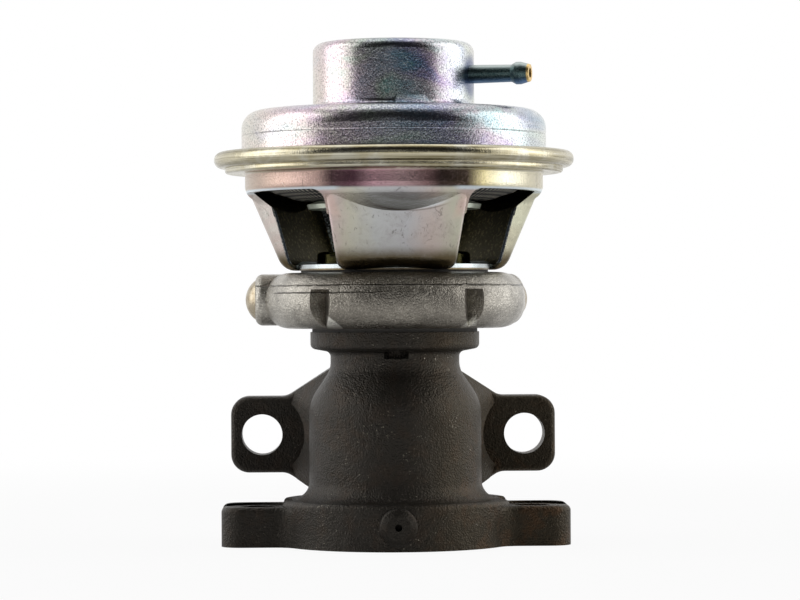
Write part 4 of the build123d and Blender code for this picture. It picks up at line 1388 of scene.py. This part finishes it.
@dataclass
class Studio:
    """White sweep, dark room in front of it, soft boxes on both sides and the camera."""

    eye: Triple = (-0.0154, -0.6798, 0.0523)
    aim: Triple = (0.00116, 0.0, 0.0523)
    roll: float = radians(-0.3)
    lens: float = 142.3
    sensor: float = 36.0
    clip: Span = (0.01, 20.0)
    lamps: tuple[SoftBox, ...] = (
        SoftBox("left_softbox", (-0.62, -0.04, 0.20), (0.56, 0.95), 2.5),
        SoftBox("right_softbox", (0.62, -0.04, 0.20), (0.56, 0.95), 2.5),
        SoftBox("top_softbox", (0.0, 0.10, 0.75), (0.6, 0.5), 0.6),
        SoftBox("front_fill", (-0.10, -0.95, 0.35), (0.25, 0.25), 0.05))
    white: Colour = (1.0, 1.0, 1.0)
    floor_tone: Colour = (0.80, 0.80, 0.80)
    floor_size: float = 8.0
    floor_drop: float = 0.1 * MM
    floor_fade: Span = (420.0, 120.0)
    floor_seen: Level = Level(1.0, -0.07)
    floor_mirrored: Level = Level(1.0, -0.70)
    room_fade: Span = (-0.50, 0.25)
    room_depth: Level = Level(0.03, 0.97)
    room_shown: Level = Level(0.45, 0.55)

    def camera(self) -> None:
        """Makes the level camera and looks along its line of sight."""
        lens = bpy.data.cameras.new("product_camera")
        lens.lens = self.lens
        lens.sensor_width = self.sensor
        lens.clip_start, lens.clip_end = self.clip
        eye = bpy.data.objects.new("product_camera", lens)
        bpy.context.scene.collection.objects.link(eye)
        eye.location = self.eye
        turn = (Vector(self.aim) - Vector(self.eye)).to_track_quat("-Z", "Y").to_euler()
        turn.rotate_axis("Z", self.roll)
        eye.rotation_euler = turn
        bpy.context.scene.camera = eye

    def floor(self) -> None:
        """Lays a pale floor that fades into the white behind the part."""
        Bench.clear()
        bpy.ops.mesh.primitive_plane_add(size=self.floor_size, location=(0, 0, -self.floor_drop))
        piece = bpy.context.active_object
        piece.name = "studio_floor"
        graph = Surface("pale_floor")
        seen, mirrored, passed = graph.rays()
        near = graph.radius.rise(*self.floor_fade)
        share = seen * self.floor_seen.over(near)
        share = share + (mirrored + passed) * self.floor_mirrored.over(near)
        plain = graph.wire("ShaderNodeBsdfDiffuse", 0, values={"Color": self.floor_tone})
        white = graph.wire("ShaderNodeEmission", 0, values={"Color": self.white})
        both = graph.wire("ShaderNodeMixShader", 0,
                          values={0: share.at_most(1.0), 1: plain, 2: white})
        graph.close("ShaderNodeOutputMaterial", both)
        piece.data.materials.append(graph.material)

    def room(self) -> None:
        """Lights the room: white behind and beside the part, dark in front of it."""
        world = bpy.data.worlds.new("studio_room")
        world.use_nodes = True
        bpy.context.scene.world = world
        graph = Graph(world.node_tree)
        _, depth, _ = graph.split(graph.wire("ShaderNodeTexCoord", "Generated"))
        seen, mirrored, passed = graph.rays()
        shown = (seen + mirrored + passed).at_most(1.0)
        strength = self.room_depth.over(depth.rise(*self.room_fade)) * self.room_shown.over(shown)
        values = {"Color": self.white, "Strength": strength}
        graph.close("ShaderNodeOutputWorld", graph.wire("ShaderNodeBackground", 0, values=values))

    def build(self) -> None:
        """Sets up the room, the floor, the lamps and the camera."""
        bpy.context.scene.view_settings.view_transform = "Standard"
        self.room()
        self.floor()
        for lamp in self.lamps:
            lamp.hang()
        self.camera()
        LOG.info("studio is set")


def main() -> None:
    """Builds each sub-assembly in order."""
    logging.basicConfig(level=logging.INFO, format="%(name)s: %(message)s")
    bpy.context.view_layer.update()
    for assembly in (Castings(), Actuator()):
        assembly.fit()
        LOG.info("fitted %s", type(assembly).__name__)
    Studio().build()


if __name__ == "__main__":
    main()
